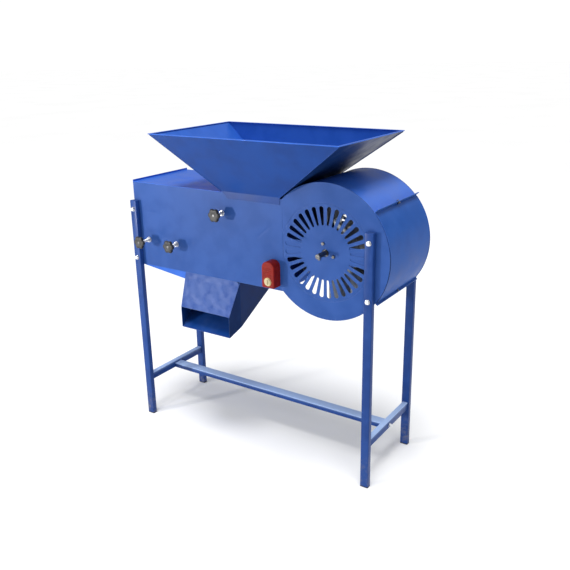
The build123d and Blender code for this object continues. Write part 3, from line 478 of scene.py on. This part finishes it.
nodeFinish = {
    enamel["body"]: ["duct_back_panel", "drum_front_plate", "drum_back_plate", "bearing_bar",
                     "motor_bar"],
    enamel["cover"]: ["drum_side_cover", "drum_tie_strip"],
    enamel["bright"]: ["duct_top_panel", "drum_upper_shell", "duct_floor_left", "duct_floor_right",
                       "hopper_back_wall", "hopper_left_wall", "feed_plate"],
    enamel["deep"]: ["hopper_front_wall", "chute_floor", "chute_cheek_left"],
    enamel["shade"]: ["hopper_right_wall", "chute_cheek_right"],
    steel["galvanised"]: ["impeller_spider", "impeller_blades", "impeller_ring", "gate_flap",
                          "grain_deflector_flap", "outlet_deflector_flap"],
    steel["zinc"]: ["bearing_housing", "gate_shaft", "grain_deflector_shaft", "outlet_deflector_shaft"],
    steel["shaft"]: ["fan_shaft", "impeller_hub", "bearing"],
    steel["motor"]: ["motor_casing"],
    steel["aluminium"]: ["motor_shields", "run_capacitor"],
    steel["iron"]: ["motor_rotor"],
    moulded["black"]: ["cable_gland"],
}
for finish, names in nodeFinish.items():
    for name in names:
        nodes[name].data.materials.clear()
        nodes[name].data.materials.append(finish)


# Leg frame: tubes with round corners.

tubeLook = {"cornerRadius": 2.6 * mm, "endRound": 1.2 * mm, "endSteps": 4}


# Straight tube: a round-cornered outline along the axis, drawn in by a quarter circle at each end.
def tubePart(low, high, axis, look=tubeLook):
    low, high = np.array(low), np.array(high)
    centre, half = (low + high) / 2, (high - low) / 2
    others = [k for k in range(3) if k != axis]
    outline = roundedOutline(half[others[0]], half[others[1]], look["cornerRadius"])
    quarter = np.linspace(0, np.pi / 2, look["endSteps"])
    reach = half[axis] - look["endRound"] * (1 - np.sin(quarter))
    inset = look["endRound"] * (1 - np.cos(quarter))
    along = np.concatenate([-reach[::-1], reach])
    drawn = np.concatenate([inset[::-1], inset])
    points = np.zeros((len(along), len(outline), 3))
    shrink = 1 - drawn[:, None, None] / half[others]
    flat = outline[None] * shrink
    points[..., others[0]], points[..., others[1]] = flat[..., 0], flat[..., 1]
    points[..., axis] = along[:, None]
    return gridPart(points + centre)


legNames = [f"leg_{end}_{side}" for end in ("front", "back") for side in ("left", "right")]
for legName in legNames:
    makePiece("tube_" + legName, [tubePart(*corners(legName), 2)], enamel["frame"], "machine",
              [legName])
for braceName in ("cross_brace_left", "cross_brace_right"):
    makePiece("tube_" + braceName, [tubePart(*corners(braceName), 1)], enamel["skylit"], "machine",
              [braceName])
makePiece("tube_tie_bar", [tubePart(*corners("tie_bar"), 0)], enamel["skylit"], "machine",
          ["tie_bar"])

footLook = {"cornerRadius": 3.0 * mm, "endRound": 0.8 * mm, "endSteps": 3}
footProud = np.array((0.4, 0.4, 0.0)) * mm
feet = []
for legName in legNames:
    low, high = corners(legName)
    low, high = low - footProud, high + footProud
    feet.append(tubePart((low[0], low[1], 0.0), (high[0], high[1], low[2]), 2, footLook))
makePiece("footPlugs", feet, moulded["black"], "machine", ["leg_foot_caps"])

weldLook = {"radius": 1.7 * mm, "ripple": 0.28, "pitch": 3.2 * mm, "step": 0.8 * mm}
welds = []
for braceName in ("cross_brace_left", "cross_brace_right"):
    low, high = corners(braceName)
    for y in (low[1], high[1]):
        lines = [((x, y, low[2] + 2 * mm), (x, y, high[2] - 2 * mm)) for x in (low[0], high[0])]
        lines += [((low[0] + 1 * mm, y, z), (high[0] - 1 * mm, y, z)) for z in (low[2], high[2])]
        for start, end in lines:
            welds.append(pathBead(straightPath(start, end, weldLook["step"]), weldLook["radius"],
                                  weldLook["ripple"], weldLook["pitch"]))
makePiece("braceWelds", welds, enamel["frame"], "machine")
print("leg frame made")


# Hexagon screws.

screwSizes = {
    "m8": {"flats": 13.0 * mm, "head": 5.3 * mm, "nut": 6.5 * mm, "washer": 8.5 * mm, "gauge": 1.6 * mm,
           "shank": 4.0 * mm},
    "m6": {"flats": 10.0 * mm, "head": 4.0 * mm, "nut": 5.0 * mm, "washer": 6.5 * mm, "gauge": 1.6 * mm,
           "shank": 3.0 * mm},
    "m4": {"flats": 7.0 * mm, "head": 2.8 * mm, "nut": 3.2 * mm, "washer": 4.5 * mm, "gauge": 0.8 * mm,
           "shank": 2.0 * mm},
}


hexLook = {"cut": 0.095, "crown": 0.985, "slope": 1.732, "centre": 0.2}


# Hexagon head or nut: radius = flats / 2 / cos(angle within the side), cut by a 30 degree cone.
def hexPart(base, axis, flats, height, hole=0.0, turn=0.0):
    angles = fullTurn(48)
    within = np.mod(angles + turn, np.pi / 3) - np.pi / 6
    hexagon = flats / 2 / np.cos(within)
    cut = flats * hexLook["cut"]
    heights = np.array([0.0, 0.0] + [height - cut * share for share in (1.0, 0.66, 0.33, 0.0, 0.0)])
    cone = flats / 2 * hexLook["crown"] + (height - heights) * hexLook["slope"]
    radii = np.minimum(hexagon[None, :], cone[:, None])
    inner = max(hole, 0.0004)
    radii[0], radii[-1] = inner, inner if hole else flats * hexLook["centre"]
    points = turned(base, axis, heights, radii, angles)
    return loopPart(points) if hole else gridPart(points)


def washerPart(base, axis, radius, gauge, hole):
    angles = fullTurn(40)
    edge = gauge * 0.25
    heights = np.array([0.0, 0.0, edge, gauge - edge, gauge, gauge])
    radii = np.array([hole, radius - edge, radius, radius, radius - edge, hole])[:, None]
    return loopPart(turned(base, axis, heights, radii, angles))


def rodPart(base, axis, radius, length, chamfer=0.0004):
    heights = np.array([0.0, chamfer, length - chamfer, length])
    radii = np.array([radius - chamfer, radius, radius, radius - chamfer])[:, None]
    return gridPart(turned(base, axis, heights, radii, fullTurn(24)))


# Screw thread: radius - depth * (0.5 + 0.5 * cos(2 pi * height / pitch - angle)), thinner at its ends.
def threadPart(base, axis, radius, length, pitch=1.25 * mm, depth=0.6 * mm):
    angles = fullTurn(28)
    heights = np.linspace(0, length, int(length / pitch * 6))
    phase = heights[:, None] / pitch - angles[None, :] / (2 * np.pi)
    ends = np.clip(np.minimum(heights, length - heights) / pitch, 0, 1)[:, None]
    radii = radius - depth * (1 - ends * (0.5 - 0.5 * np.cos(2 * np.pi * phase)))
    return gridPart(turned(base, axis, heights, radii, angles))


def boltParts(base, axis, screw, turn=0.0, washer=True):
    size = screwSizes[screw]
    axis = np.array(axis, float)
    lift = size["gauge"] if washer else 0.0
    parts = [hexPart(np.array(base) + axis * lift, axis, size["flats"], size["head"], turn=turn)]
    if washer:
        parts.append(washerPart(base, axis, size["washer"], size["gauge"], size["shank"]))
    return parts


# Nut and the end of its screw, which stands out past it.
def nutParts(base, axis, screw, reach, turn=0.0, pitch=1.25 * mm, depth=0.6 * mm):
    size = screwSizes[screw]
    return [hexPart(base, axis, size["flats"], size["nut"], size["shank"], turn),
            threadPart(base, axis, size["shank"], reach, pitch, depth)]


boltInset = {"fromTop": 33.0 * mm, "apart": 191.0 * mm}
legParts = []
for number, legName in enumerate(legNames):
    low, high = corners(legName)
    facing = -1.0 if "front" in legName else 1.0
    x = (low[0] + high[0]) / 2
    face = low[1] if facing < 0 else high[1]
    inside = (frontY + sheetGauge) if facing < 0 else (backY - sheetGauge)
    for row in range(2):
        z = high[2] - boltInset["fromTop"] - row * boltInset["apart"]
        turn = 0.4 * number + 0.9 * row
        legParts += boltParts((x, face, z), (0, facing, 0), "m8", turn)
        legParts += nutParts((x, inside, z), (0, -facing, 0), "m8", 9.5 * mm, turn + 0.3)
makePiece("legBolts", legParts, steel["zinc"], "machine", ["leg_bolts"])

tieMiddle = sum(corners("tie_bar")) / 2
tieParts = []
for facing, braceName in ((-1.0, "cross_brace_left"), (1.0, "cross_brace_right")):
    low, high = corners(braceName)
    x = low[0] if facing < 0 else high[0]
    tieParts += boltParts((x, tieMiddle[1], tieMiddle[2]), (facing, 0, 0), "m8", 0.5)
makePiece("tieBarBolts", tieParts, steel["zinc"], "machine", ["tie_bar_bolts"])

bearingLook = {"boltCircle": 31.75 * mm, "angles": (105.0, 225.0, 345.0), "behindFace": 4.0 * mm}
bearingParts = []
for angle in np.radians(bearingLook["angles"]):
    spot = drumCentre + bearingLook["boltCircle"] * np.array((math.cos(angle), 0, math.sin(angle)))
    spot[1] = frontY
    bearingParts += boltParts(spot, (0, -1, 0), "m6", angle, washer=False)
    spot[1] = corners("bearing_housing")[0][1] + bearingLook["behindFace"]
    bearingParts += nutParts(spot, (0, 1, 0), "m6", 6.5 * mm, 0.2, 1.0 * mm, 0.4 * mm)
makePiece("bearingBolts", bearingParts, steel["shaft"], "machine", ["bearing_bolts"])
print("screws made")


# Star knobs with their studs and lock nuts.

flapBodies = ("gate", "grain_deflector", "outlet_deflector")
knobLook = {"lobes": 6, "lobeDepth": 4.2 * mm, "thickness": 18.0, "neck": 6.0,
            "profile": (0.44, 0.47, 0.50, 0.56, 0.86, 0.97, 1.0, 0.975, 0.90, 0.74, 0.44, 0.36, 0.02),
            "lobeShare": (0, 0, 0, 0.1, 0.7, 1, 1, 1, 0.9, 0.55, 0, 0, 0)}


# Star knob facing the front: radius = profile(height) - depth * share(height) * lobe(angle).
def knobPart(back, radius, look=knobLook):
    top, neck = look["thickness"], look["neck"]
    heights = np.array([0, 0.3, neck - 0.8, neck, neck + 0.9, neck + 2.4, top - 4.2, top - 2.0,
                        top - 0.6, top, top - 0.25, top - 0.6, top - 0.6]) * mm
    profile, share = np.array(look["profile"]) * radius, np.array(look["lobeShare"])
    angles = fullTurn(96)
    lobe = np.power(0.5 - 0.5 * np.cos(look["lobes"] * angles), 1.5)
    radii = profile[:, None] - look["lobeDepth"] * share[:, None] * lobe[None, :]
    return gridPart(turned(back, (0, -1, 0), heights, radii, angles))


studLook = {"radius": 5.5 * mm, "pitch": 1.5 * mm, "depth": 0.45 * mm, "shortOfPanel": 8.5 * mm}
for body in flapBodies:
    low, high = corners(body + "_knob")
    x, z = jointPlace[body + "_turn"][0], jointPlace[body + "_turn"][2]
    makePiece("starKnob_" + body, [knobPart((x, high[1], z), (high[0] - low[0]) / 2)], moulded["black"],
              body, [body + "_knob"], smoothAngle=50)
    studY = high[1] + 0.2 * mm
    stud = threadPart((x, studY, z), (0, 1, 0), studLook["radius"],
                      frontY - studLook["shortOfPanel"] - studY, studLook["pitch"], studLook["depth"])
    makePiece("stud_" + body, [stud], steel["zinc"], body)
    cap = hexPart((x, low[1] + 0.7 * mm, z), (0, -1, 0), 9.0 * mm, 0.5 * mm)
    makePiece("knobCap_" + body, [cap], steel["shaft"], body)

lockLook = {"washer": 10.5 * mm, "gauge": 1.2 * mm, "flats": 17.0 * mm, "height": 6.8 * mm}
lockParts = []
for body in flapBodies:
    x, z = jointPlace[body + "_turn"][0], jointPlace[body + "_turn"][2]
    lockParts.append(washerPart((x, frontY, z), (0, -1, 0), lockLook["washer"], lockLook["gauge"],
                                5.2 * mm))
    lockParts.append(hexPart((x, frontY - lockLook["gauge"], z), (0, -1, 0), lockLook["flats"],
                             lockLook["height"], 5.15 * mm, x * 40))
makePiece("lockNuts", lockParts, steel["zinc"], "machine", ["lock_nuts"])
print("knobs made")


# Front panel: one thin sheet with shallow dents and three creases.

panelLook = {"cell": 5.0 * mm, "deepest": 0.9 * mm}
# Start and end of each crease from the sheet's top left corner, then its width and depth.
creases = (((0.050, -0.107), (0.118, -0.105), 0.0022, 0.0007),
           ((0.560, -0.155), (0.640, -0.088), 0.0030, 0.0008),
           ((0.135, -0.196), (0.185, -0.196), 0.0020, 0.0005))


# Valley along a line: depth * exp(-(distance across / width) squared), faded at both ends.
def creaseDepth(x, z, start, end, width, depth):
    run = end - start
    length = np.hypot(*run)
    run = run / length
    along = (x - start[0]) * run[0] + (z - start[1]) * run[1]
    across = -(x - start[0]) * run[1] + (z - start[1]) * run[0]
    fade = np.clip(np.minimum(along, length - along) / (length * 0.25), 0, 1)
    return depth * np.exp(-(across / width) ** 2) * fade


# Flat sheet whose face is pushed in by slow waves and creases that die out at its edges.
def panelPart(low, high, look=panelLook):
    columns = int((high[0] - low[0]) / look["cell"]) + 1
    rows = int((high[2] - low[2]) / look["cell"]) + 1
    x, z = np.meshgrid(np.linspace(low[0], high[0], columns), np.linspace(low[2], high[2], rows))
    u, v = (x - low[0]) / (high[0] - low[0]), (z - low[2]) / (high[2] - low[2])
    calm = np.clip(np.minimum(np.minimum(u, 1 - u) * 9, np.minimum(v, 1 - v) * 5), 0, 1)
    wave = 0.5 + 0.22 * np.sin(7.1 * u + 2.0 * v) + 0.18 * np.sin(4.3 * v - 5.2 * u + 1.0)
    push = look["deepest"] * 0.75 * calm * calm * (3 - 2 * calm) * wave
    corner = np.array((low[0], high[2]))
    for start, end, width, depth in creases:
        push = push + creaseDepth(x, z, corner + start, corner + end, width, depth)
    face = np.stack([x, low[1] + push, z], axis=-1)
    rear = np.stack([x, low[1] + push + sheetGauge * 0.8, z], axis=-1)
    return shellPart(face, rear)


makePiece("frontSheet", [panelPart(panelLow, panelHigh)], enamel["body"], "machine",
          ["duct_front_panel"], smoothAngle=40)


# Chute hood: hand-beaten, so its face ripples.

hoodLook = {"rows": 60, "columns": 110, "ripple": 2.0 * mm, "cornerRadius": 16.0 * mm,
            "taper": 13.5 * mm}
hoodLow, hoodHigh = corners("chute_hood")
hoodCentre = (hoodLow[0] + hoodHigh[0]) / 2


# Trapezium from the panel's edge down to the mouth. It is pushed in by soft round dents.
def hoodPart(look=hoodLook):
    s, t = np.meshgrid(np.linspace(-1, 1, look["columns"]), np.linspace(0, 1, look["rows"]))
    half = (hoodHigh[0] - hoodLow[0]) / 2 - look["taper"] * t
    height = hoodHigh[2] - hoodLow[2]
    drop = t * height
    corner = np.clip(look["cornerRadius"] - drop, 0, None)
    cut = look["cornerRadius"] - np.sqrt(np.clip(look["cornerRadius"] ** 2 - corner ** 2, 0, None))
    x = hoodCentre - half + (s + 1) / 2 * (2 * half - cut)
    front = hoodLow[1]
    y = frontY + (front - frontY) * t
    z = hoodHigh[2] - drop
    calm = np.clip(np.minimum((1 - np.abs(s)) * 6, np.minimum(t, 1 - t) * 6), 0, 1)
    dents = (0.5 + 0.5 * np.sin(9.5 * s + 2.4 * np.sin(4.6 * t)) * np.cos(7.8 * t + 1.7 * s))
    dents = dents * 0.7 + 0.3 * (0.5 + 0.5 * np.sin(17.0 * s - 11.0 * t))
    push = look["ripple"] * calm * dents
    inward = np.array((0.0, height, -abs(front - frontY)))
    inward /= np.linalg.norm(inward)
    face = np.stack([x, y, z], axis=-1)
    outerFace = face + push[..., None] * inward
    innerFace = face + (push + sheetGauge)[..., None] * inward
    innerFace[..., 2] = np.minimum(innerFace[..., 2], hoodHigh[2])
    return shellPart(outerFace, innerFace)


makePiece("chuteHoodSheet", [hoodPart()], enamel["beaten"], "machine", ["chute_hood"],
          smoothAngle=40)
print("sheets made")


# Hopper: rolled hem round the rim and weld lines down its corners.

hemLook = {"width": 8.0 * mm, "height": 3.0 * mm, "round": 1.4 * mm}


# Round-edged strip carried round the rim, mitred at its four corners.
def hemPart(low, high, look=hemLook):
    outline = roundedOutline(look["width"] / 2, look["height"] / 2, look["round"], 4)
    inset = look["width"] / 2
    x0, x1, y0, y1 = low[0] + inset, high[0] - inset, low[1] + inset, high[1] - inset
    places = np.array([(x0, y0), (x1, y0), (x1, y1), (x0, y1)])
    outwards = np.array([(-1, -1), (1, -1), (1, 1), (-1, 1)])
    level = (low[2] + high[2]) / 2
    points = np.zeros((4, len(outline), 3))
    points[..., :2] = places[:, None] + outline[None, :, :1] * outwards[:, None]
    points[..., 2] = level + outline[None, :, 1]
    return loopPart(points)


makePiece("hopperHem", [hemPart(*corners("hopper_rim_strip"))], enamel["bright"], "machine",
          ["hopper_rim_strip"])


seamLook = {"radius": 1.3 * mm, "ripple": 0.18, "pitch": 4.5 * mm, "step": 1.2 * mm, "reach": 0.8 * mm}
neckLevel = corners("duct_top_panel")[0][2] + 4.5 * mm


# Outermost corner of a hopper wall at its rim or its neck.
def wallEdge(node, xSide, ySide, top):
    points = np.array([v.co for v in nodes[node].data.vertices])
    level = points[:, 2].max() if top else neckLevel
    near = points[np.abs(points[:, 2] - level) < seamLook["reach"]]
    return near[np.argmax(near[:, 0] * xSide + near[:, 1] * ySide)]


seams = []
for xSide, sideWall in ((-1, "hopper_left_wall"), (1, "hopper_right_wall")):
    for ySide, endWall in ((-1, "hopper_front_wall"), (1, "hopper_back_wall")):
        start = wallEdge(sideWall, xSide, ySide, True) - (0, 0, 1 * mm)
        end = wallEdge(endWall, xSide, ySide, False)
        seams.append(pathBead(straightPath(start, end, seamLook["step"]), seamLook["radius"],
                              seamLook["ripple"], seamLook["pitch"], 8))
makePiece("hopperSeams", seams, enamel["deep"], "machine")


# Drum: folded bead round each plate and the joint to the duct.

# Arc about the drum's centre, between two angles in degrees.
def arcPath(radius, start, end, y, spacing=0.003):
    count = max(6, int(radius * math.radians(abs(end - start)) / spacing))
    angles = np.radians(np.linspace(start, end, count))
    path = np.zeros((count, 3))
    path[:, 0] = drumCentre[0] + radius * np.cos(angles)
    path[:, 1] = y
    path[:, 2] = drumCentre[2] + radius * np.sin(angles)
    return path


def arcBead(radius, start, end, y, thickness, ripple=0.0):
    return pathBead(arcPath(radius, start, end, y), thickness, ripple, 0.05, 8)


chordAngle = 180 - math.degrees(math.asin((panelHigh[2] - panelLow[2]) / 2 / drumRadius))
beads, shadowLineHems = [], []
for y in (frontY + 0.6 * mm, backY - 0.6 * mm):
    beads.append(arcBead(drumRadius - 0.2 * mm, 42.0, chordAngle - 0.5, y, 1.1 * mm, 0.05))
    beads.append(arcBead(drumRadius - 0.5 * mm, -chordAngle, -38.0, y, 1.2 * mm))
    joint = straightPath((panelHigh[0], y, panelLow[2] + 2 * mm),
                         (panelHigh[0], y, panelHigh[2] - 26 * mm))
    beads.append(pathBead(joint, 1.0 * mm, 0.15, 5 * mm, 8))
    # painted shadow line: a thin dark hem round the cover's edge, where the cover meets the plate
    shadowLineHems.append(arcBead(drumRadius + 0.9 * mm, -36.6, 41.0, y, 1.7 * mm))
makePiece("coverHems", shadowLineHems, enamel["shade"], "machine")
makePiece("drumBeads", beads, enamel["body"], "machine")

# Angle of each seam, middle of its lips from the centre, its screw, and the lips above and below it.
coverSeams = ((41.5, 238.95 * mm, "m6", 1.5 * mm, 1.5 * mm),
              (-37.0, 235.95 * mm, "m4", 1.5 * mm, 3.0 * mm))
seamParts = []
for angle, lipMiddle, screw, above, below in coverSeams:
    a = math.radians(angle)
    radial = np.array((math.cos(a), 0, math.sin(a)))
    across = np.array((-math.sin(a), 0, math.cos(a)))
    spot = drumCentre + radial * lipMiddle
    seamParts += boltParts(spot + across * above, across, screw, 0.3, washer=False)
    seamParts += nutParts(spot - across * below, -across, screw, screwSizes[screw]["nut"] + 1.4 * mm,
                          pitch=0.9 * mm, depth=0.35 * mm)
makePiece("seamBolts", seamParts, steel["shaft"], "machine", ["seam_bolts"])
print("drum details made")


# Switch box with its dial.

switchLow, switchHigh = corners("switch_box")
switchLook = {"arch": 22.0 * mm, "foot": 3.0 * mm, "edge": 3.2 * mm, "face": 13 * mm}
ribLook = {"count": 4, "fromTop": 24 * mm, "apart": 7 * mm, "half": 15 * mm, "thick": 1.1 * mm}


# Outline with a broad round top and small round bottom corners.
def archOutline(width, height, look=switchLook):
    angles = np.radians(np.linspace(0, 90, 24))
    outline = []
    for xSide, zSide, radius, start in ((1, 1, look["arch"], 0), (-1, 1, look["arch"], 90),
                                        (-1, -1, look["foot"], 180), (1, -1, look["foot"], 270)):
        a = angles + math.radians(start)
        outline.append(np.stack([xSide * (width / 2 - radius) + radius * np.cos(a),
                                 zSide * (height / 2 - radius) + radius * np.sin(a)], axis=1))
    return np.concatenate(outline)


# Housing: its outline carried forwards, then rolled over its front edge onto a nearly flat face.
def switchPart(look=switchLook):
    width, height = switchHigh[0] - switchLow[0], switchHigh[2] - switchLow[2]
    depth = switchHigh[1] - switchLow[1]
    outline = archOutline(width, height)
    quarter = np.linspace(0, np.pi / 2, 7)
    edge = look["edge"]
    forward = np.concatenate([[0, 0.35 * depth], depth - edge + edge * np.sin(quarter), [depth, depth]])
    inset = np.concatenate([[0, 0], edge * (1 - np.cos(quarter)), [edge * 2.2, look["face"]]])
    flat = outline[None] * (1 - inset[:, None, None] / (width / 2, height / 2))
    points = np.zeros((len(forward), len(outline), 3))
    points[..., 0], points[..., 2] = flat[..., 0], flat[..., 1]
    points[..., 1] = -forward[:, None]
    return gridPart(points + (switchCentre[0], switchHigh[1], switchCentre[2]))


switchCentre = (switchLow + switchHigh) / 2
switchParts = [switchPart()]
for number in range(ribLook["count"]):
    z = switchHigh[2] - ribLook["fromTop"] - number * ribLook["apart"]
    x = switchCentre[0]
    switchParts.append(tubePart((x - ribLook["half"], switchLow[1] - 0.7 * mm, z - ribLook["thick"]),
                                (x + ribLook["half"], switchLow[1] + 0.6 * mm, z + ribLook["thick"]), 0,
                                {"cornerRadius": 0.6 * mm, "endRound": 0.5 * mm, "endSteps": 3}))
makePiece("switchHousing", switchParts, moulded["red"], "machine", ["switch_box"])

dialLow, dialHigh = corners("switch_dial")
dialCentre = jointPlace["switch_turn"]
dialRadius = (dialHigh[0] - dialLow[0]) / 2


# Dial: a fluted rim that rises to a flat face. Radius = rim * (1 - small * cosine of the flutes).
def dialPart():
    heights = np.array([0.0, 0.6, 3.4, 4.0, 4.05, 3.6, 3.6]) * mm
    profile = np.array([0.94, 1.0, 0.97, 0.90, 0.72, 0.66, 0.02]) * dialRadius
    flutes = np.array([0, 1, 1, 0.6, 0, 0, 0]) * 0.022
    angles = fullTurn(144)
    radii = profile[:, None] * (1 - flutes[:, None] * (0.5 + 0.5 * np.cos(24 * angles))[None, :])
    base = (dialCentre[0], switchLow[1] - 0.4 * mm, dialCentre[2])
    return gridPart(turned(base, (0, -1, 0), heights, radii, angles))


gripLook = {"cornerRadius": 1.8 * mm, "endRound": 1.2 * mm, "endSteps": 4}
gripHalf = (2.6 * mm, dialRadius * 0.72)
gripPart = tubePart((dialCentre[0] - gripHalf[0], dialLow[1], dialCentre[2] - gripHalf[1]),
                    (dialCentre[0] + gripHalf[0], switchLow[1] - 3.0 * mm, dialCentre[2] + gripHalf[1]),
                    1, gripLook)
stemPart = rodPart((dialCentre[0], switchLow[1] - 0.5 * mm, dialCentre[2]), (0, 1, 0), 4.0 * mm,
                   10.0 * mm)
makePiece("switchDial", [dialPart(), gripPart, stemPart], moulded["cream"], "switch_dial",
          ["switch_dial"])
ringPart = washerPart((dialCentre[0], switchLow[1] + 0.1 * mm, dialCentre[2]), (0, -1, 0),
                      dialRadius + 2.2 * mm, 0.45 * mm, 5.0 * mm)
makePiece("dialRing", [ringPart], steel["brass"], "machine")
print("switch made")


# Wiring box on the back.

lidLow, lidHigh = corners("wiring_lid")
boxLook = {"cornerRadius": 4.0 * mm, "endRound": 1.5 * mm, "endSteps": 4}
lidLook = {"cornerRadius": 4.0 * mm, "endRound": 1.0 * mm, "endSteps": 3}
makePiece("wiringBoxShell", [tubePart(*corners("wiring_box"), 1, boxLook)], enamel["body"], "machine",
          ["wiring_box"])
makePiece("wiringBoxLid", [tubePart(lidLow, lidHigh, 1, lidLook)], enamel["body"], "machine",
          ["wiring_lid"])
lidScrewLook = {"inset": 9 * mm, "heights": (0.0, 0.8, 1.6, 2.0), "radii": (3.6, 3.5, 2.6, 1.0)}
heights = np.array(lidScrewLook["heights"]) * mm
radii = np.array(lidScrewLook["radii"])[:, None] * mm
screwParts = []
for x in (lidLow[0] + lidScrewLook["inset"], lidHigh[0] - lidScrewLook["inset"]):
    for z in (lidLow[2] + lidScrewLook["inset"], lidHigh[2] - lidScrewLook["inset"]):
        screwParts.append(gridPart(turned((x, lidHigh[1], z), (0, 1, 0), heights, radii, fullTurn(24))))
makePiece("lidScrews", screwParts, steel["zinc"], "machine")


# Floor, lights and camera.

floorMesh = bpy.data.meshes.new("floor")
floorMesh.from_pydata([(-60, -60, 0), (60, -60, 0), (60, 60, 0), (-60, 60, 0)], [], [(0, 1, 2, 3)])
floor = bpy.data.objects.new("floor", floorMesh)
bpy.context.scene.collection.objects.link(floor)
floorMaterial, floorTree, floorShader, floorPlace = startMaterial("paleFloor")
floorTone = rampNode(floorTree, noiseNode(floorTree, floorPlace, 0.8, 2.0, 0.5), 0.3, 0.7, 0.0, 1.0)
floorTree.links.new(mixColour(floorTree, floorTone, (0.90, 0.90, 0.90), (0.93, 0.93, 0.93)),
                    floorShader.inputs["Base Color"])
setInputs(floorShader, Roughness=0.9, Specular_IOR_Level=0.1)
floorMesh.materials.append(floorMaterial)

studioLook = {"surround": 0.42, "backdrop": 1.05, "sunPower": 2.25, "sunSoftness": 24.0}
world = bpy.data.worlds.new("studio")
bpy.context.scene.world = world
world.use_nodes = True
backdrop = world.node_tree.nodes["Background"]
setInputs(backdrop, Color=(1.0, 1.0, 1.0, 1.0))
rays = world.node_tree.nodes.new("ShaderNodeLightPath")
strength = addNode(world.node_tree, "ShaderNodeMapRange", To_Min=studioLook["surround"],
                   To_Max=studioLook["backdrop"])
world.node_tree.links.new(rays.outputs["Is Camera Ray"], strength.inputs["Value"])
world.node_tree.links.new(strength.outputs["Result"], backdrop.inputs["Strength"])

sunData = bpy.data.lights.new("overheadSun", "SUN")
sunData.energy = studioLook["sunPower"]
sunData.angle = math.radians(studioLook["sunSoftness"])
sun = bpy.data.objects.new("overheadSun", sunData)
sun.matrix_world = Vector((-0.09, 0.20, -0.97)).to_track_quat("-Z", "Y").to_matrix().to_4x4()
bpy.context.scene.collection.objects.link(sun)


def areaLight(name, place, target, size, power, colour=(1.0, 1.0, 1.0), sizeY=None):
    data = bpy.data.lights.new(name, "AREA")
    data.shape = "RECTANGLE"
    data.size, data.size_y = size, sizeY or size
    data.energy, data.color = power, colour
    light = bpy.data.objects.new(name, data)
    direction = Vector(target) - Vector(place)
    aim = direction.to_track_quat("-Z", "Y").to_matrix().to_4x4()
    light.matrix_world = Matrix.Translation(place) @ aim
    light.visible_camera = False
    bpy.context.scene.collection.objects.link(light)


middle = (float(drumCentre[0]) - 0.3, 0.0, 0.75)
areaLight("keyLight", (-2.25, -3.05, 0.76), middle, 0.22, 78.0, (1.0, 0.98, 0.95))
areaLight("topFront", (-0.4, -2.2, 3.1), middle, 2.4, 18.0)
areaLight("backGlow", (1.6, 3.0, 3.0), middle, 3.2, 24.0, (0.86, 0.93, 1.0), 1.6)

# Camera at eye height, to the right of the machine's front and looking slightly down.
view = {"place": (1.40985, -1.99547, 1.44537), "turn": 0.588984, "tilt": 0.326850, "roll": -0.018569,
        "focal": 700.685, "width": 570.0, "sensor": 36.0}
turn, tilt, roll = view["turn"], view["tilt"], view["roll"]
ahead = np.array((-math.sin(turn) * math.cos(tilt), math.cos(turn) * math.cos(tilt), -math.sin(tilt)))
rightward = np.array((math.cos(turn), math.sin(turn), 0.0))
upward = np.cross(rightward, ahead)
rolledRight = rightward * math.cos(roll) + upward * math.sin(roll)
rolledUp = -rightward * math.sin(roll) + upward * math.cos(roll)
cameraData = bpy.data.cameras.new("camera")
cameraData.sensor_width = view["sensor"]
cameraData.lens = view["focal"] / view["width"] * view["sensor"]
cameraData.clip_end = 60.0
camera = bpy.data.objects.new("camera", cameraData)
basis = Matrix([[*row] for row in np.stack([rolledRight, rolledUp, -ahead], axis=1)]).to_4x4()
camera.matrix_world = Matrix.Translation(view["place"]) @ basis
bpy.context.scene.collection.objects.link(camera)
bpy.context.scene.camera = camera
bpy.context.scene.view_settings.view_transform = "Standard"
print("stage made")
